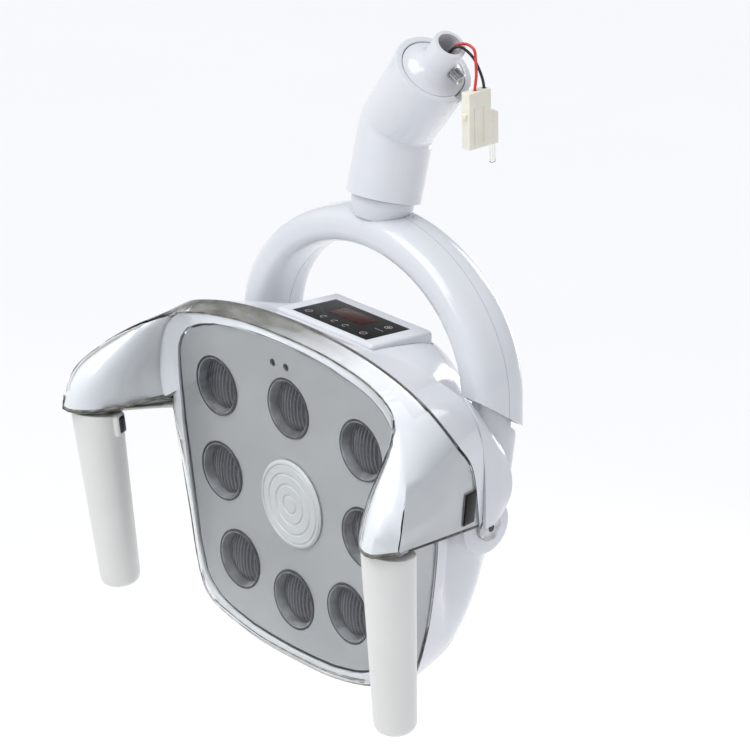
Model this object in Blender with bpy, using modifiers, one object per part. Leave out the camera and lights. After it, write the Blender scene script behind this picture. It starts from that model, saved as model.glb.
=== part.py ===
"""Dental operating light: an eight-lamp head in a tilting yoke, hung from an elbow and an arm spigot.

Metres, +Z up. The lamp face looks along -Y and +X is to its right. The face frame has its origin
in the middle of the face plate. The whole light is then shifted so that the world origin is the
centre of the arm spigot's open end. Lengths in the tables below are in millimetres.
"""
import math

import bmesh
import bpy
from mathutils import Matrix, Vector

MM = 0.001
GAP = 0.3                       # clearance between touching pieces

# Joint axes and centre lines, in the face frame
TILT_Y, TILT_Z = 62.0, 2.0      # the head tilts about the X axis through this point
NECK_LEAN = math.radians(15.8)  # the neck leans back
NECK_FOOT = Vector((0.0, 78.5, 183.0))
NECK_LENGTH = 45.6
SPIGOT_LEAN = math.radians(39.0)
ELBOW_LEG = 54.6
SPIGOT_REACH = 24.0
NECK_DIR = Vector((0.0, math.sin(NECK_LEAN), math.cos(NECK_LEAN)))
SPIGOT_DIR = Vector((math.sin(SPIGOT_LEAN), 0.0, math.cos(SPIGOT_LEAN)))
MITRE = NECK_FOOT + NECK_DIR * NECK_LENGTH
RING = MITRE + SPIGOT_DIR * ELBOW_LEG
ORIGIN = RING + SPIGOT_DIR * SPIGOT_REACH

# Head
SHEET_Y = -8.0                  # front of the clear cover
COVER_WALL = 2.4
BEZEL_INSET = 2.8               # outside of the bezel, measured in from the cover's outside
BEZEL_WALL = 1.6
DEEPEST = BEZEL_INSET + BEZEL_WALL
BAND_SINK = 1.15                # the bezel's front band lies this many times deeper than its sides
EVEN_ROUNDS = 5                 # passes that even out neighbouring wall directions
ROOM_SHARE, ROOM_STEP = 0.3, 0.15
HOUSING_WALL = 2.5
PLATE_RISE = 2.8                # the face plate's edge stands this far forward of its middle
PLATE_WALL = 1.2
LENS_R = 20.0
LAMPS = ((-70.0, 59.0), (0.0, 64.5), (70.0, 59.0), (-69.0, 0.5), (69.0, 0.5),
         (-53.5, -56.0), (0.0, -66.0), (53.5, -56.0))
BADGE_R = 29.0
HANDLE_TOP = Vector((142.7, -45.0, 32.6))
HANDLE_FOOT = Vector((137.0, -37.5, -85.5))
HANDLE_DIR = (HANDLE_TOP - HANDLE_FOOT).normalized()
HANDLE_LENGTH = (HANDLE_TOP - HANDLE_FOOT).length
HANDLE_R = 16.2
HANDLE_FOOT_R = 13.2
SOCKET_HOLE_R = 10.8

# Yoke
ARCH_HALF = 103.5
ARCH_RISE = 84.0
ARCH_SPRING = 76.0              # height above the tilt axis where the arch starts
ARCH_Y_FOOT, ARCH_Y_TOP = 73.5, 79.0
# the arm's half widths: away from and towards the middle, to the front and to the rear
ARM_OUT, ARM_IN, ARM_FRONT, ARM_REAR = 15.0, 12.0, 21.0, 17.5
ARM_SLIMMER = 2.0               # how much thinner the arch is at its top, on each face
YOKE_WALL = 2.6
BOSS_R = 18.6

# Elbow, neck and spigot
NECK_R = 19.7
ELBOW_R = 23.6
RING_R = 25.0
ELBOW_WALL = 2.8
SPIGOT_R = 10.4
BORE_R = 7.8
LEAD_R = 0.9


# ---------------------------------------------------------------- scene and materials
for old in list(bpy.data.objects):
    bpy.data.objects.remove(old, do_unlink=True)

parts = bpy.data.collections.new("dental_operating_light")
cutters = bpy.data.collections.new("cutters")
bpy.context.scene.collection.children.link(parts)
bpy.context.scene.collection.children.link(cutters)


def material(name, colour, roughness=0.4, metallic=0.0):
    mat = bpy.data.materials.new(name)
    mat.use_nodes = True
    shader = mat.node_tree.nodes["Principled BSDF"]
    shader.inputs["Base Color"].default_value = (*colour, 1.0)
    shader.inputs["Roughness"].default_value = roughness
    shader.inputs["Metallic"].default_value = metallic
    mat.diffuse_color = (*colour, 1.0)
    return mat


WHITE = material("white_gloss", (0.86, 0.87, 0.89), 0.22)
SATIN = material("handle_satin", (0.82, 0.81, 0.78), 0.4)
CLEAR = material("clear_cover", (0.62, 0.65, 0.62), 0.08)
SILVER = material("face_silver", (0.58, 0.59, 0.6), 0.35, 0.6)
BADGE = material("badge_grey", (0.72, 0.73, 0.73), 0.45)
DARK = material("dark_plastic", (0.03, 0.03, 0.035), 0.35)
MIRROR = material("reflector_mirror", (0.12, 0.13, 0.2), 0.15, 0.9)
LENS = material("lens_clear", (0.25, 0.26, 0.32), 0.06)
STEEL = material("bright_steel", (0.62, 0.62, 0.64), 0.25, 1.0)
BRASS = material("brass", (0.75, 0.6, 0.3), 0.3, 1.0)
ALLOY = material("alloy", (0.66, 0.67, 0.69), 0.45, 0.9)
BOARD = material("circuit_board", (0.05, 0.22, 0.12), 0.5)
GLASS = material("panel_glass", (0.02, 0.015, 0.015), 0.08)
DISPLAY = material("display", (0.12, 0.03, 0.03), 0.2)
NYLON = material("nylon", (0.85, 0.83, 0.74), 0.45)
RED = material("lead_red", (0.75, 0.06, 0.05), 0.4)
BLACK = material("lead_black", (0.02, 0.02, 0.02), 0.4)
ACETAL = material("acetal", (0.25, 0.25, 0.26), 0.4)


# ---------------------------------------------------------------- joint axes as empties
def empty(name, place, parent=None):
    """An empty at a point of the face frame; place is in millimetres."""
    holder = bpy.data.objects.new(name, None)
    parts.objects.link(holder)
    holder.empty_display_size = 0.02
    holder["place"] = tuple(place)
    origin = Vector(parent["place"]) if parent else ORIGIN
    holder.location = (Vector(place) - origin) * MM
    holder.parent = parent
    return holder


arm_end_axis = empty("spigot_axis", RING)
elbow_axis = empty("elbow_axis", RING, arm_end_axis)
neck_axis = empty("neck_axis", NECK_FOOT, elbow_axis)
tilt_axis = empty("tilt_axis", (0.0, TILT_Y, TILT_Z), neck_axis)


# ---------------------------------------------------------------- making objects
def add_object(name, mesh, mat, parent, cutter=False):
    """Links an object whose mesh is in the face frame, in millimetres, and hangs it on its axis."""
    mesh.transform(Matrix.Scale(MM, 4))
    mesh.transform(Matrix.Translation(-Vector(parent["place"]) * MM))
    obj = bpy.data.objects.new(name, mesh)
    (cutters if cutter else parts).objects.link(obj)
    obj.parent = parent
    if cutter:
        obj.hide_render = True
        obj.display_type = "WIRE"
    else:
        mesh.materials.append(mat)
        mesh.shade_smooth()
        mesh.set_sharp_from_angle(angle=math.radians(35))
    return obj


def mesh_from(bm, name):
    mesh = bpy.data.meshes.new(name)
    bm.to_mesh(mesh)
    bm.free()
    return mesh


def frame_along(direction, place):
    """Matrix that takes local +Z to a direction and the local origin to a place."""
    turn = Vector(direction).to_track_quat("Z", "Y").to_matrix().to_4x4()
    return Matrix.Translation(Vector(place)) @ turn


def turned(name, profile, mat, parent, place, direction=(0, 0, 1), steps=24, cutter=False, slant=None):
    """A lathe shape: the profile is a closed loop of (radius, height), down its outer side first.

    A slant of (height, slope) leans everything above that height, rising by the slope along +Y.
    """
    bm = bmesh.new()
    rings = []
    for radius, height in profile:
        if radius < 1e-6:
            rings.append([bm.verts.new((0.0, 0.0, height))])
            continue
        ring = []
        for i in range(steps):
            a = 2 * math.pi * i / steps
            ring.append(bm.verts.new((radius * math.cos(a), radius * math.sin(a), height)))
        rings.append(ring)
    for upper, lower in zip(rings, rings[1:] + rings[:1]):
        for i in range(steps):
            j = (i + 1) % steps
            corners = [upper[i % len(upper)], lower[i % len(lower)], lower[j % len(lower)],
                       upper[j % len(upper)]]
            corners = list(dict.fromkeys(corners))
            if len(corners) > 2:
                bm.faces.new(corners)
    bmesh.ops.recalc_face_normals(bm, faces=bm.faces)
    raised = [v for v in bm.verts if slant and v.co.z > slant[0]]
    bmesh.ops.transform(bm, matrix=frame_along(direction, place), verts=bm.verts)
    for vert in raised:
        vert.co += Vector(direction).normalized() * slant[1] * (vert.co.y - place[1])
    return add_object(name, mesh_from(bm, name), mat, parent, cutter)


def block(name, size, place, mat, parent, bevel=0.0, turn=None, cutter=False):
    bm = bmesh.new()
    bmesh.ops.create_cube(bm, size=1.0)
    bmesh.ops.scale(bm, vec=size, verts=bm.verts)
    if bevel:
        bmesh.ops.bevel(bm, geom=bm.edges[:], offset=bevel, segments=2, affect="EDGES", profile=0.5)
    if turn:
        bmesh.ops.transform(bm, matrix=turn, verts=bm.verts)
        bmesh.ops.recalc_face_normals(bm, faces=bm.faces)
    bmesh.ops.translate(bm, vec=place, verts=bm.verts)
    return add_object(name, mesh_from(bm, name), mat, parent, cutter)


def loft(name, rings, mat, parent, closed_path=False, cutter=False):
    """A solid between closed rings of points; its ends are capped."""
    bm = bmesh.new()
    rows = [[bm.verts.new(p) for p in ring] for ring in rings]
    count = len(rings[0])
    pairs = list(zip(rows, rows[1:] + rows[:1])) if closed_path else list(zip(rows, rows[1:]))
    for a, b in pairs:
        for i in range(count):
            j = (i + 1) % count
            bm.faces.new((a[i], a[j], b[j], b[i]))
    if not closed_path:
        bm.faces.new(rows[0])
        bm.faces.new(rows[-1])
    bmesh.ops.recalc_face_normals(bm, faces=bm.faces)
    return add_object(name, mesh_from(bm, name), mat, parent, cutter)


def cut(obj, cutter):
    mod = obj.modifiers.new("cut_" + cutter.name, "BOOLEAN")
    mod.operation = "DIFFERENCE"
    mod.solver = "EXACT"
    mod.object = cutter


def join(obj, other):
    mod = obj.modifiers.new("join_" + other.name, "BOOLEAN")
    mod.operation = "UNION"
    mod.solver = "EXACT"
    mod.object = other


# ---------------------------------------------------------------- smooth outlines
def catmull(points, steps):
    """Points of a smooth curve through the given ones; steps for each span."""
    found = []
    ends = [points[0] * 2 - points[1]] + points + [points[-1] * 2 - points[-2]]
    for i in range(1, len(ends) - 2):
        p0, p1, p2, p3 = ends[i - 1], ends[i], ends[i + 1], ends[i + 2]
        for k in range(steps):
            t = k / steps
            found.append(0.5 * (2 * p1 + (p2 - p0) * t + (2 * p0 - 5 * p1 + 4 * p2 - p3) * t * t
                                + (3 * p1 - p0 - 3 * p2 + p3) * t ** 3))
    found.append(points[-1])
    return found


# Right half of each ring of the head's skin, from top centre round to bottom centre. The wing's tip
# corner and the notch where the wing meets the face's side are sharp, so a ring is made of runs:
# along the top, along the wing's top edge, down its tip, back along its lower edge, down the side.
TOP_SPANS, WING_SPANS, TIP_SPANS, SIDE_SPANS = 5, 7, 4, 9
FLIP = Vector((-1, 1, 1))


def resampled(line, spans):
    """An open line's points at equal steps along it."""
    lengths = [0.0]
    for a, b in zip(line, line[1:]):
        lengths.append(lengths[-1] + (b - a).length)
    out = [line[0]]
    for k in range(1, spans):
        want = lengths[-1] * k / spans
        i = max(j for j in range(len(line) - 1) if lengths[j] <= want)
        share = (want - lengths[i]) / (lengths[i + 1] - lengths[i])
        out.append(line[i].lerp(line[i + 1], share))
    return out + [line[-1]]


def run(keys, spans, marks, before=None, after=None):
    """A smooth run through the keys, cut at the marked keys into so many equal spans each."""
    points = [Vector(k) for k in keys]
    lead = [before] if before else []
    tail = [after] if after else []
    fine = catmull(lead + points + tail, 8)
    first = 8 * len(lead)
    out = []
    for count, (start, end) in zip(spans, marks):
        stretch = resampled(fine[first + 8 * start:first + 8 * end + 1], count)
        out += stretch[:-1]
    return out + [fine[first + 8 * marks[-1][1]]]


def mirror_ring(half):
    return half + [p * FLIP for p in half[1:-1]][::-1]


def ring_of(top, low, side):
    """A closed ring from its top run, the wing's lower run and the side run."""
    top_run = run(top, (TOP_SPANS, WING_SPANS, TIP_SPANS), ((0, 2), (2, 5), (5, 6)),
                  before=Vector(top[1]) * FLIP)
    low_run = run(low, (WING_SPANS,), ((0, len(low) - 1),))
    side_run = run(side, (SIDE_SPANS,), ((0, len(side) - 1),), after=Vector(side[-2]) * FLIP)
    return mirror_ring(top_run[:-1] + low_run[:-1] + side_run)


# edge of the flat front sheet
SHEET_TOP = [(0, SHEET_Y, 110), (47, SHEET_Y, 107.5), (84, SHEET_Y, 100), (97, SHEET_Y, 93.5),
             (105.5, SHEET_Y, 84), (109.5, SHEET_Y, 70), (110.5, SHEET_Y, 57), (107, SHEET_Y, 45)]
SHEET_SIDE = [(107, SHEET_Y, 45), (105.5, SHEET_Y, 10), (97.5, SHEET_Y, -36), (93, SHEET_Y, -63),
              (86.5, SHEET_Y, -83.5), (75, SHEET_Y, -93), (40, SHEET_Y, -101), (0, SHEET_Y, -102.5)]
# front rim of the cover
RIM_TOP = [(0, -5, 113.5), (47, -5, 111.5), (90, -7.5, 104.5), (122, -18, 92.5), (148, -35, 73.5),
           (160.5, -49, 55), (162, -54, 38)]
RIM_LOW = [(162, -54, 38), (148, -66.5, 36.5), (127, -52, 37.5), (113.5, -7, 39)]
RIM_SIDE = [(113.5, -7, 39), (110, -5.5, 10), (100.3, -5.5, -36), (96, -5.5, -63), (89.5, -5.5, -86.5),
            (78, -5.5, -96), (40, -5.5, -104.5), (0, -5.5, -106)]
# rear edge of the cover
EDGE_TOP = [(0, 8, 119), (50, 8, 116), (90, 8, 108.5), (117, 9, 98), (134, 17, 77), (129, 34, 53),
            (125, 42, 13)]
EDGE_LOW = [(125, 42, 13), (118, 40, 19), (110, 36.5, 25), (101, 31, 29)]
EDGE_SIDE = [(101, 31, 29), (100, 30, -10), (97, 28, -44), (95.5, 25, -64), (92, 19, -89),
             (82, 18, -99), (42, 16, -107), (0, 16, -108.5)]
# housing rings, front to back
BODY_1 = ([(0, 28, 109), (47, 28, 108), (84, 30, 102), (108, 34, 90), (121, 38, 70), (123, 44, 50),
           (121, 48, 13)],
          [(121, 48, 13), (114, 47.8, 17.4), (106, 47.5, 21.4), (97.5, 47, 25)],
          [(97.5, 47, 25), (97, 41.5, 6), (97, 41, -10), (94, 40, -42), (92, 39, -62), (88, 38, -87),
           (78, 38, -97), (42, 38, -106), (0, 38, -108)])
BODY_2 = ([(0, 47, 107), (45, 47, 106), (80, 46, 99), (84, 46.5, 88), (86, 47, 72), (87, 47.8, 54),
           (87, 48.6, 36)],
          [(87, 48.6, 36), (87, 48.6, 34), (87, 48.5, 31.5), (87, 48.4, 29)],
          [(87, 48.4, 29), (87, 43.3, 8), (87, 43.3, -12), (87.5, 50, -42), (87, 54, -60), (83.5, 55, -83),
           (74, 56, -93), (41, 56, -102), (0, 56, -104)])
BODY_3 = ([(0, 78, 103), (40, 78, 100), (63, 78, 88), (71, 78, 74), (76, 78, 60), (79, 78, 48),
           (82, 78, 33)],
          [(82, 78, 33), (82.1, 78, 31.4), (82.2, 78, 29.7), (82.4, 78, 28)],
          [(82.4, 78, 28), (84.8, 78, -14), (84.5, 77, -38), (82, 76, -57), (76, 73, -76), (65, 72, -86),
           (36, 71, -93), (0, 71, -95)])
BODY_4 = ([(0, 94, 86), (35, 94, 83), (55, 94, 72), (63, 95, 60), (68, 96, 50), (70, 97, 42),
           (72, 97, 31)],
          [(72, 97, 31), (72.1, 97, 29.5), (72.2, 97, 28), (72.4, 97, 26.5)],
          [(72.4, 97, 26.5), (75, 97, -14), (74, 95, -35), (70, 92, -51), (63, 88, -65), (53, 86, -73),
           (29, 84, -79), (0, 84, -81)])


def shrunk(ring, factor, y, centre_z=6.0):
    return [Vector((p.x * factor, y, centre_z + (p.z - centre_z) * factor)) for p in ring]


def between(ring_a, ring_b, share):
    return [a.lerp(b, share) for a, b in zip(ring_a, ring_b)]


def rows_to_faces(bm, rows, closed=True):
    count = len(rows[0])
    for a, b in zip(rows, rows[1:]):
        for i in range(count if closed else count - 1):
            j = (i + 1) % count
            bm.faces.new((a[i], a[j], b[j], b[i]))


def turn_outward(bm, probe, direction):
    """Makes all faces agree and look out, as told by one vertex whose normal should follow direction."""
    bmesh.ops.recalc_face_normals(bm, faces=bm.faces)
    bm.normal_update()
    if probe.normal.dot(Vector(direction)) < 0:
        bmesh.ops.reverse_faces(bm, faces=bm.faces)
        bm.normal_update()


def wall_lines(bm, notch):
    """For each corner of a skin, the direction in which its wall is built and how much room it has.

    The directions are evened-out normals. Where neighbours close in on each other the room shrinks,
    so the wall never folds. The notch gives corners whose direction is set by hand.
    """
    lines = {v: v.normal.copy() for v in bm.verts}
    for _ in range(EVEN_ROUNDS):
        blend = {}
        for vert, line in lines.items():
            total = line * 2
            for edge in vert.link_edges:
                total = total + lines[edge.other_vert(vert)]
            blend[vert] = total.normalized()
        lines = blend
    for vert, line in lines.items():
        if vert.is_boundary:
            lines[vert] = Vector((line.x, 0, line.z)).normalized()
    for vert, direction in notch:
        lines[vert] = Vector(direction)
    room = {}
    for vert, line in lines.items():
        deepest = DEEPEST
        near = {v for face in vert.link_faces for v in face.verts}
        near = {v for middle in near for face in middle.link_faces for v in face.verts}
        for other in near:
            apart = other.co - vert.co
            closing = apart.dot(lines[other] - line)
            if closing > 1e-6:
                deepest = min(deepest, ROOM_SHARE * apart.length_squared / closing)
        room[vert] = deepest / DEEPEST
    for _ in range(2):
        room = {v: min([r] + [room[e.other_vert(v)] + ROOM_STEP for e in v.link_edges])
                for v, r in room.items()}
    return lines, room


def thickened(bm, lines, room, outer, inner):
    """Turns an open skin into a wall between two depths below it."""
    edges = [(e.verts[0], e.verts[1]) for e in bm.edges if e.is_boundary]
    faces = list(bm.faces)
    deep = {}
    for vert, line in lines.items():
        place = vert.co.copy()
        vert.co = place - line * outer * room[vert]
        deep[vert] = bm.verts.new(place - line * inner * room[vert])
    for face in faces:
        bm.faces.new([deep[v] for v in reversed(face.verts)])
    for a, b in edges:
        bm.faces.new((a, b, deep[b], deep[a]))
    bmesh.ops.recalc_face_normals(bm, faces=bm.faces)


def shell(name, mesh, wall, mat, parent):
    obj = add_object(name, mesh, mat, parent)
    mod = obj.modifiers.new("wall", "SOLIDIFY")
    mod.thickness = wall * MM
    mod.offset = -1
    mod.use_even_offset = True
    mod.thickness_clamp = 0.0
    return obj


rim = ring_of(RIM_TOP, RIM_LOW, RIM_SIDE)
rear_edge = ring_of(EDGE_TOP, EDGE_LOW, EDGE_SIDE)
WING_START = TOP_SPANS
WING_CORNER = TOP_SPANS + WING_SPANS
LOW_START = WING_CORNER + TIP_SPANS
LOW_END = LOW_START + WING_SPANS
sheet_top = run(SHEET_TOP, (TOP_SPANS, TIP_SPANS), ((0, 2), (2, 7)), before=Vector(SHEET_TOP[1]) * FLIP)
sheet_side = run(SHEET_SIDE, (SIDE_SPANS,), ((0, 7),), after=Vector(SHEET_SIDE[-2]) * FLIP)
sheet_half = sheet_top[:-1] + sheet_side
sheet_edge = mirror_ring(sheet_half)


def wing_grid():
    """Interior points of the wing's front: each column rises from the lower rim and rounds over to the top rim."""
    side = sheet_half[TOP_SPANS:TOP_SPANS + TIP_SPANS + 1][::-1]
    top = [side[-1]] + rim[WING_START + 1:WING_CORNER + 1]
    low = [side[0]] + rim[LOW_START:LOW_END][::-1]
    tip = rim[WING_CORNER:LOW_START + 1][::-1]

    def profile(i, v):
        a, b = low[i], top[i]
        over, up = 1 - math.cos(v * math.pi / 2), math.sin(v * math.pi / 2)
        return Vector((a.x + (b.x - a.x) * over, a.y + (b.y - a.y) * over, a.z + (b.z - a.z) * up))

    columns = []
    for i in range(WING_SPANS + 1):
        u = i / WING_SPANS
        column = []
        for k in range(TIP_SPANS + 1):
            v = k / TIP_SPANS
            point = profile(i, v)
            point += (side[k] - profile(0, v)) * (1 - u) ** 3
            point += (tip[k] - profile(WING_SPANS, v)) * u ** 3
            column.append(point)
        columns.append(column)
    return columns


WING_COLUMNS = wing_grid()


def head_skin(name, outer, inner, inner_edge=None):
    """A wall under the cover's outer surface; an inner edge given leaves the sheet out and adds a band."""
    bm = bmesh.new()
    edge_row = [bm.verts.new(p) for p in sheet_edge]
    rim_row = [bm.verts.new(p) for p in rim]
    rows = [rim_row]
    for share in (0.5, 1.0):
        rows.append([bm.verts.new(p) for p in between(rim, rear_edge, share)])
    rows_to_faces(bm, rows)
    edge_count, rim_count = len(edge_row), len(rim_row)
    for half in (1, -1):
        def pick(row, i, count, half=half):
            return row[(half * i) % count]
        for i in range(TOP_SPANS):
            bm.faces.new((pick(edge_row, i, edge_count), pick(edge_row, i + 1, edge_count),
                          pick(rim_row, i + 1, rim_count), pick(rim_row, i, rim_count)))
        for i in range(SIDE_SPANS):
            e = TOP_SPANS + TIP_SPANS + i
            bm.faces.new((pick(edge_row, e, edge_count), pick(edge_row, e + 1, edge_count),
                          pick(rim_row, LOW_END + i + 1, rim_count), pick(rim_row, LOW_END + i, rim_count)))
        grid = []
        for i, column in enumerate(WING_COLUMNS):
            line = []
            for k, point in enumerate(column):
                if i == 0:
                    line.append(pick(edge_row, TOP_SPANS + TIP_SPANS - k, edge_count))
                elif k == 0:
                    line.append(pick(rim_row, LOW_END - i, rim_count))
                elif k == TIP_SPANS:
                    line.append(pick(rim_row, WING_START + i, rim_count))
                elif i == WING_SPANS:
                    line.append(pick(rim_row, LOW_START - k, rim_count))
                else:
                    line.append(bm.verts.new(mirrored(point, half)))
            grid.append(line)
        rows_to_faces(bm, grid, closed=False)
        bm.faces.new((pick(edge_row, TOP_SPANS, edge_count), pick(rim_row, WING_START, rim_count),
                      pick(rim_row, WING_START + 1, rim_count)))
        bm.faces.new((pick(edge_row, TOP_SPANS + TIP_SPANS, edge_count), pick(rim_row, LOW_END, rim_count),
                      pick(rim_row, LOW_END - 1, rim_count)))
    bmesh.ops.triangulate(bm, faces=bm.faces[:], quad_method="SHORT_EDGE")
    sheet = bm.faces.new(edge_row)
    turn_outward(bm, rows[1][0], (0, 0, 1))
    notch = []
    for half in (1, -1):
        notch.append((rim_row[half * LOW_END], (half * 0.7, -0.9, -0.7)))
        notch += [(row[half * LOW_END], (half, 0, -0.9)) for row in rows[1:]]
    lines, room = wall_lines(bm, notch)
    if inner_edge:
        bm.faces.remove(sheet)
        band = [bm.verts.new(p) for p in inner_edge]
        rows_to_faces(bm, [band, edge_row])
        for vert in band:
            lines[vert] = Vector((0, -BAND_SINK, 0))
            room[vert] = 1.0
        for vert in edge_row:
            aside = Vector((lines[vert].x, 0, lines[vert].z)).normalized()
            lines[vert] = aside * 0.3 + Vector((0, -BAND_SINK, 0))
            room[vert] = 1.0
        bmesh.ops.recalc_face_normals(bm, faces=bm.faces)
    thickened(bm, lines, room, outer, inner)
    return mesh_from(bm, name)


def side_name(stem, side):
    return f"{stem}_{'right' if side > 0 else 'left'}"


def mirrored(vec, side):
    return Vector((vec[0] * side, vec[1], vec[2]))


# ---------------------------------------------------------------- clear cover and bezel
front_cover = add_object("front_cover", head_skin("front_cover", 0.0, COVER_WALL), CLEAR, tilt_axis)


# outline of the face plate: the sheet's edge pulled in on all sides
PLATE_OUTLINE = [(0, 107.5), (22, 107.2), (47, 104.8), (64, 101.8), (80, 97.8), (93, 92), (101, 84),
                 (104.5, 75), (104.8, 60), (103, 26), (97.6, -14.6), (91.8, -55), (85.8, -75),
                 (80.2, -82.2), (72.5, -88), (61, -92.2), (40, -96.5), (20, -98), (0, -98.5)]


def plate_ring(inset, y):
    """The plate's outline moved in by the inset, at one depth."""
    half = [Vector((x, 0, z)) for x, z in PLATE_OUTLINE]
    loop = mirror_ring(half)
    out = []
    count = len(loop)
    for i, p in enumerate(loop):
        along = (loop[(i + 1) % count] - loop[i - 1]).normalized()
        normal = Vector((along.z, 0, -along.x))
        if normal.dot(p - Vector((0, 0, 5))) > 0:
            normal = -normal
        q = p + normal * inset
        out.append(Vector((q.x, y, q.z)))
    return out


def nearest_on(loop, ring):
    """For each point of the ring, the nearest point of the loop, so that the two pair up."""
    out = []
    for p in ring:
        best = None
        for a, b in zip(loop, loop[1:] + loop[:1]):
            share = max(0.0, min(1.0, (p - a).dot(b - a) / (b - a).length_squared))
            q = a.lerp(b, share)
            gap = (Vector((p.x, 0, p.z)) - Vector((q.x, 0, q.z))).length
            if best is None or gap < best[0]:
                best = (gap, q)
        out.append(best[1])
    return out


band_inner = nearest_on(plate_ring(-1.2, SHEET_Y), sheet_edge)
bezel = add_object("bezel", head_skin("bezel", BEZEL_INSET, BEZEL_INSET + BEZEL_WALL, band_inner), WHITE,
                   tilt_axis)

# handle sockets pass through both skins under each wing
for side in (-1, 1):
    top = mirrored(HANDLE_TOP, side)
    hole = turned(side_name("socket_hole", side), [(0, 9), (SOCKET_HOLE_R, 9), (SOCKET_HOLE_R, -24), (0, -24)],
                  None, tilt_axis, top, mirrored(HANDLE_DIR, side), steps=20, cutter=True)
    cut(front_cover, hole)
    cut(bezel, hole)


# ---------------------------------------------------------------- face plate, lamps, badge
def dish(x, z):
    """How far the face plate's front stands forward of its middle."""
    return PLATE_RISE * ((x / 105.0) ** 2 + ((z - 5.0) / 105.0) ** 2)


def plate_mesh():
    bm = bmesh.new()
    outline = plate_ring(0.6, 0.0)
    rows = []
    for share in (1.0, 0.62):
        rows.append([bm.verts.new((p.x * share, -dish(p.x * share, 5 + (p.z - 5) * share),
                                   5 + (p.z - 5) * share)) for p in outline])
    middle = bm.verts.new((0, 0, 5))
    count = len(outline)
    for a, b in zip(rows, rows[1:]):
        for i in range(count):
            j = (i + 1) % count
            bm.faces.new((a[i], b[i], b[j], a[j]))
    for i in range(count):
        bm.faces.new((rows[-1][i], middle, rows[-1][(i + 1) % count]))
    turn_outward(bm, middle, (0, -1, 0))
    return mesh_from(bm, "face_plate")


face_plate = shell("face_plate", plate_mesh(), PLATE_WALL, SILVER, tilt_axis)
OUT = (0, -1, 0)
for number, (x, z) in enumerate(LAMPS, 1):
    place = Vector((x, -dish(x, z), z))
    hole = turned(f"lamp_hole_{number}", [(0, 6), (LENS_R, 6), (LENS_R, -6), (0, -6)], None,
                  tilt_axis, place, OUT, steps=18, cutter=True)
    cut(face_plate, hole)
    r = LENS_R - GAP
    cup = [(r, 0.6), (r, -6), (13.5, -18), (0, -25.5),
           (0, -23.5), (10.5, -19), (17.2, -1.9), (18.4, -1.9), (18.4, 0.6)]
    turned(f"reflector_{number}", cup, MIRROR, tilt_axis, place, OUT, steps=18)
    glass = [(0, 0.4), (18.4 - GAP, -0.2), (18.4 - GAP, -1.6), (0, -1.3)]
    turned(f"lens_{number}", glass, LENS, tilt_axis, place, OUT, steps=18)

badge_hole = turned("badge_hole", [(0, 4), (8, 4), (8, -6), (0, -6)], None, tilt_axis, (0, 0, 0), OUT,
                    steps=16, cutter=True)
cut(face_plate, badge_hole)
turned("badge", [(0, 2.6), (BADGE_R - 1.2, 2.4), (BADGE_R, 1.4), (BADGE_R, 0.75), (8 - GAP, 0.75),
                 (8 - GAP, -3.5), (0, -3.5)], BADGE, tilt_axis, (0, 0, 0), OUT, steps=24)
for number, (x, z) in enumerate(((-12.9, 91.5), (0.0, 92.0)), 1):
    hole = turned(f"pip_hole_{number}", [(0, 4), (2.6, 4), (2.6, -4), (0, -4)], None, tilt_axis,
                  (x, -dish(x, z), z), OUT, steps=12, cutter=True)
    cut(face_plate, hole)


# ---------------------------------------------------------------- rear housing and ear covers
def hollow(ring, setback, bridged):
    """The ring moved in by the wall and along Y by the setback; a bridge crosses straight over the wing."""
    count = len(ring)
    half = []
    for i in range(LOW_END + SIDE_SPANS + 1):
        along = ring[(i + 1) % count] - ring[i - 1]
        inward = Vector((-along.z, 0, along.x)).normalized()
        if inward.dot(Vector((0, 0, 5)) - ring[i]) < 0:
            inward = -inward
        half.append(ring[i] + inward * HOUSING_WALL + Vector((0, setback, 0)))
    if bridged:
        start = half[WING_START]
        end = ring[LOW_END] + Vector((-HOUSING_WALL, setback, 0))
        for i in range(WING_START, LOW_END + 1):
            point = start.lerp(end, (i - WING_START) / (LOW_END - WING_START))
            half[i] = Vector((point.x, ring[i].y + setback, point.z))
    half[0].x = half[-1].x = 0.0
    return mirror_ring(half)


body_rings = [[p + Vector((0, 0.6, 0)) for p in rear_edge]]
body_rings += [ring_of(*keys) for keys in (BODY_1, BODY_2, BODY_3, BODY_4)]
body_rings += [shrunk(body_rings[-1], 0.74, 105), shrunk(body_rings[-1], 0.4, 110)]
hollows = [hollow(ring, setback, bridged) for ring, setback, bridged in
           zip(body_rings, (1.0, -2.4, -2.4, 0.0, 0.0), (True, True, False, False, False))]
hollows += [shrunk(hollows[-1], 0.74, 105 - HOUSING_WALL), shrunk(hollows[-1], 0.4, 110 - HOUSING_WALL)]
bm = bmesh.new()
outer_rows = [[bm.verts.new(p) for p in ring] for ring in body_rings]
inner_rows = [[bm.verts.new(p) for p in ring] for ring in hollows]
rows_to_faces(bm, outer_rows[::-1] + inner_rows)
bm.faces.new(outer_rows[-1])
bm.faces.new(inner_rows[-1])
turn_outward(bm, outer_rows[2][0], (0, 0, 1))
rear_housing = add_object("rear_housing", mesh_from(bm, "rear_housing"), WHITE, tilt_axis)

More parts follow.
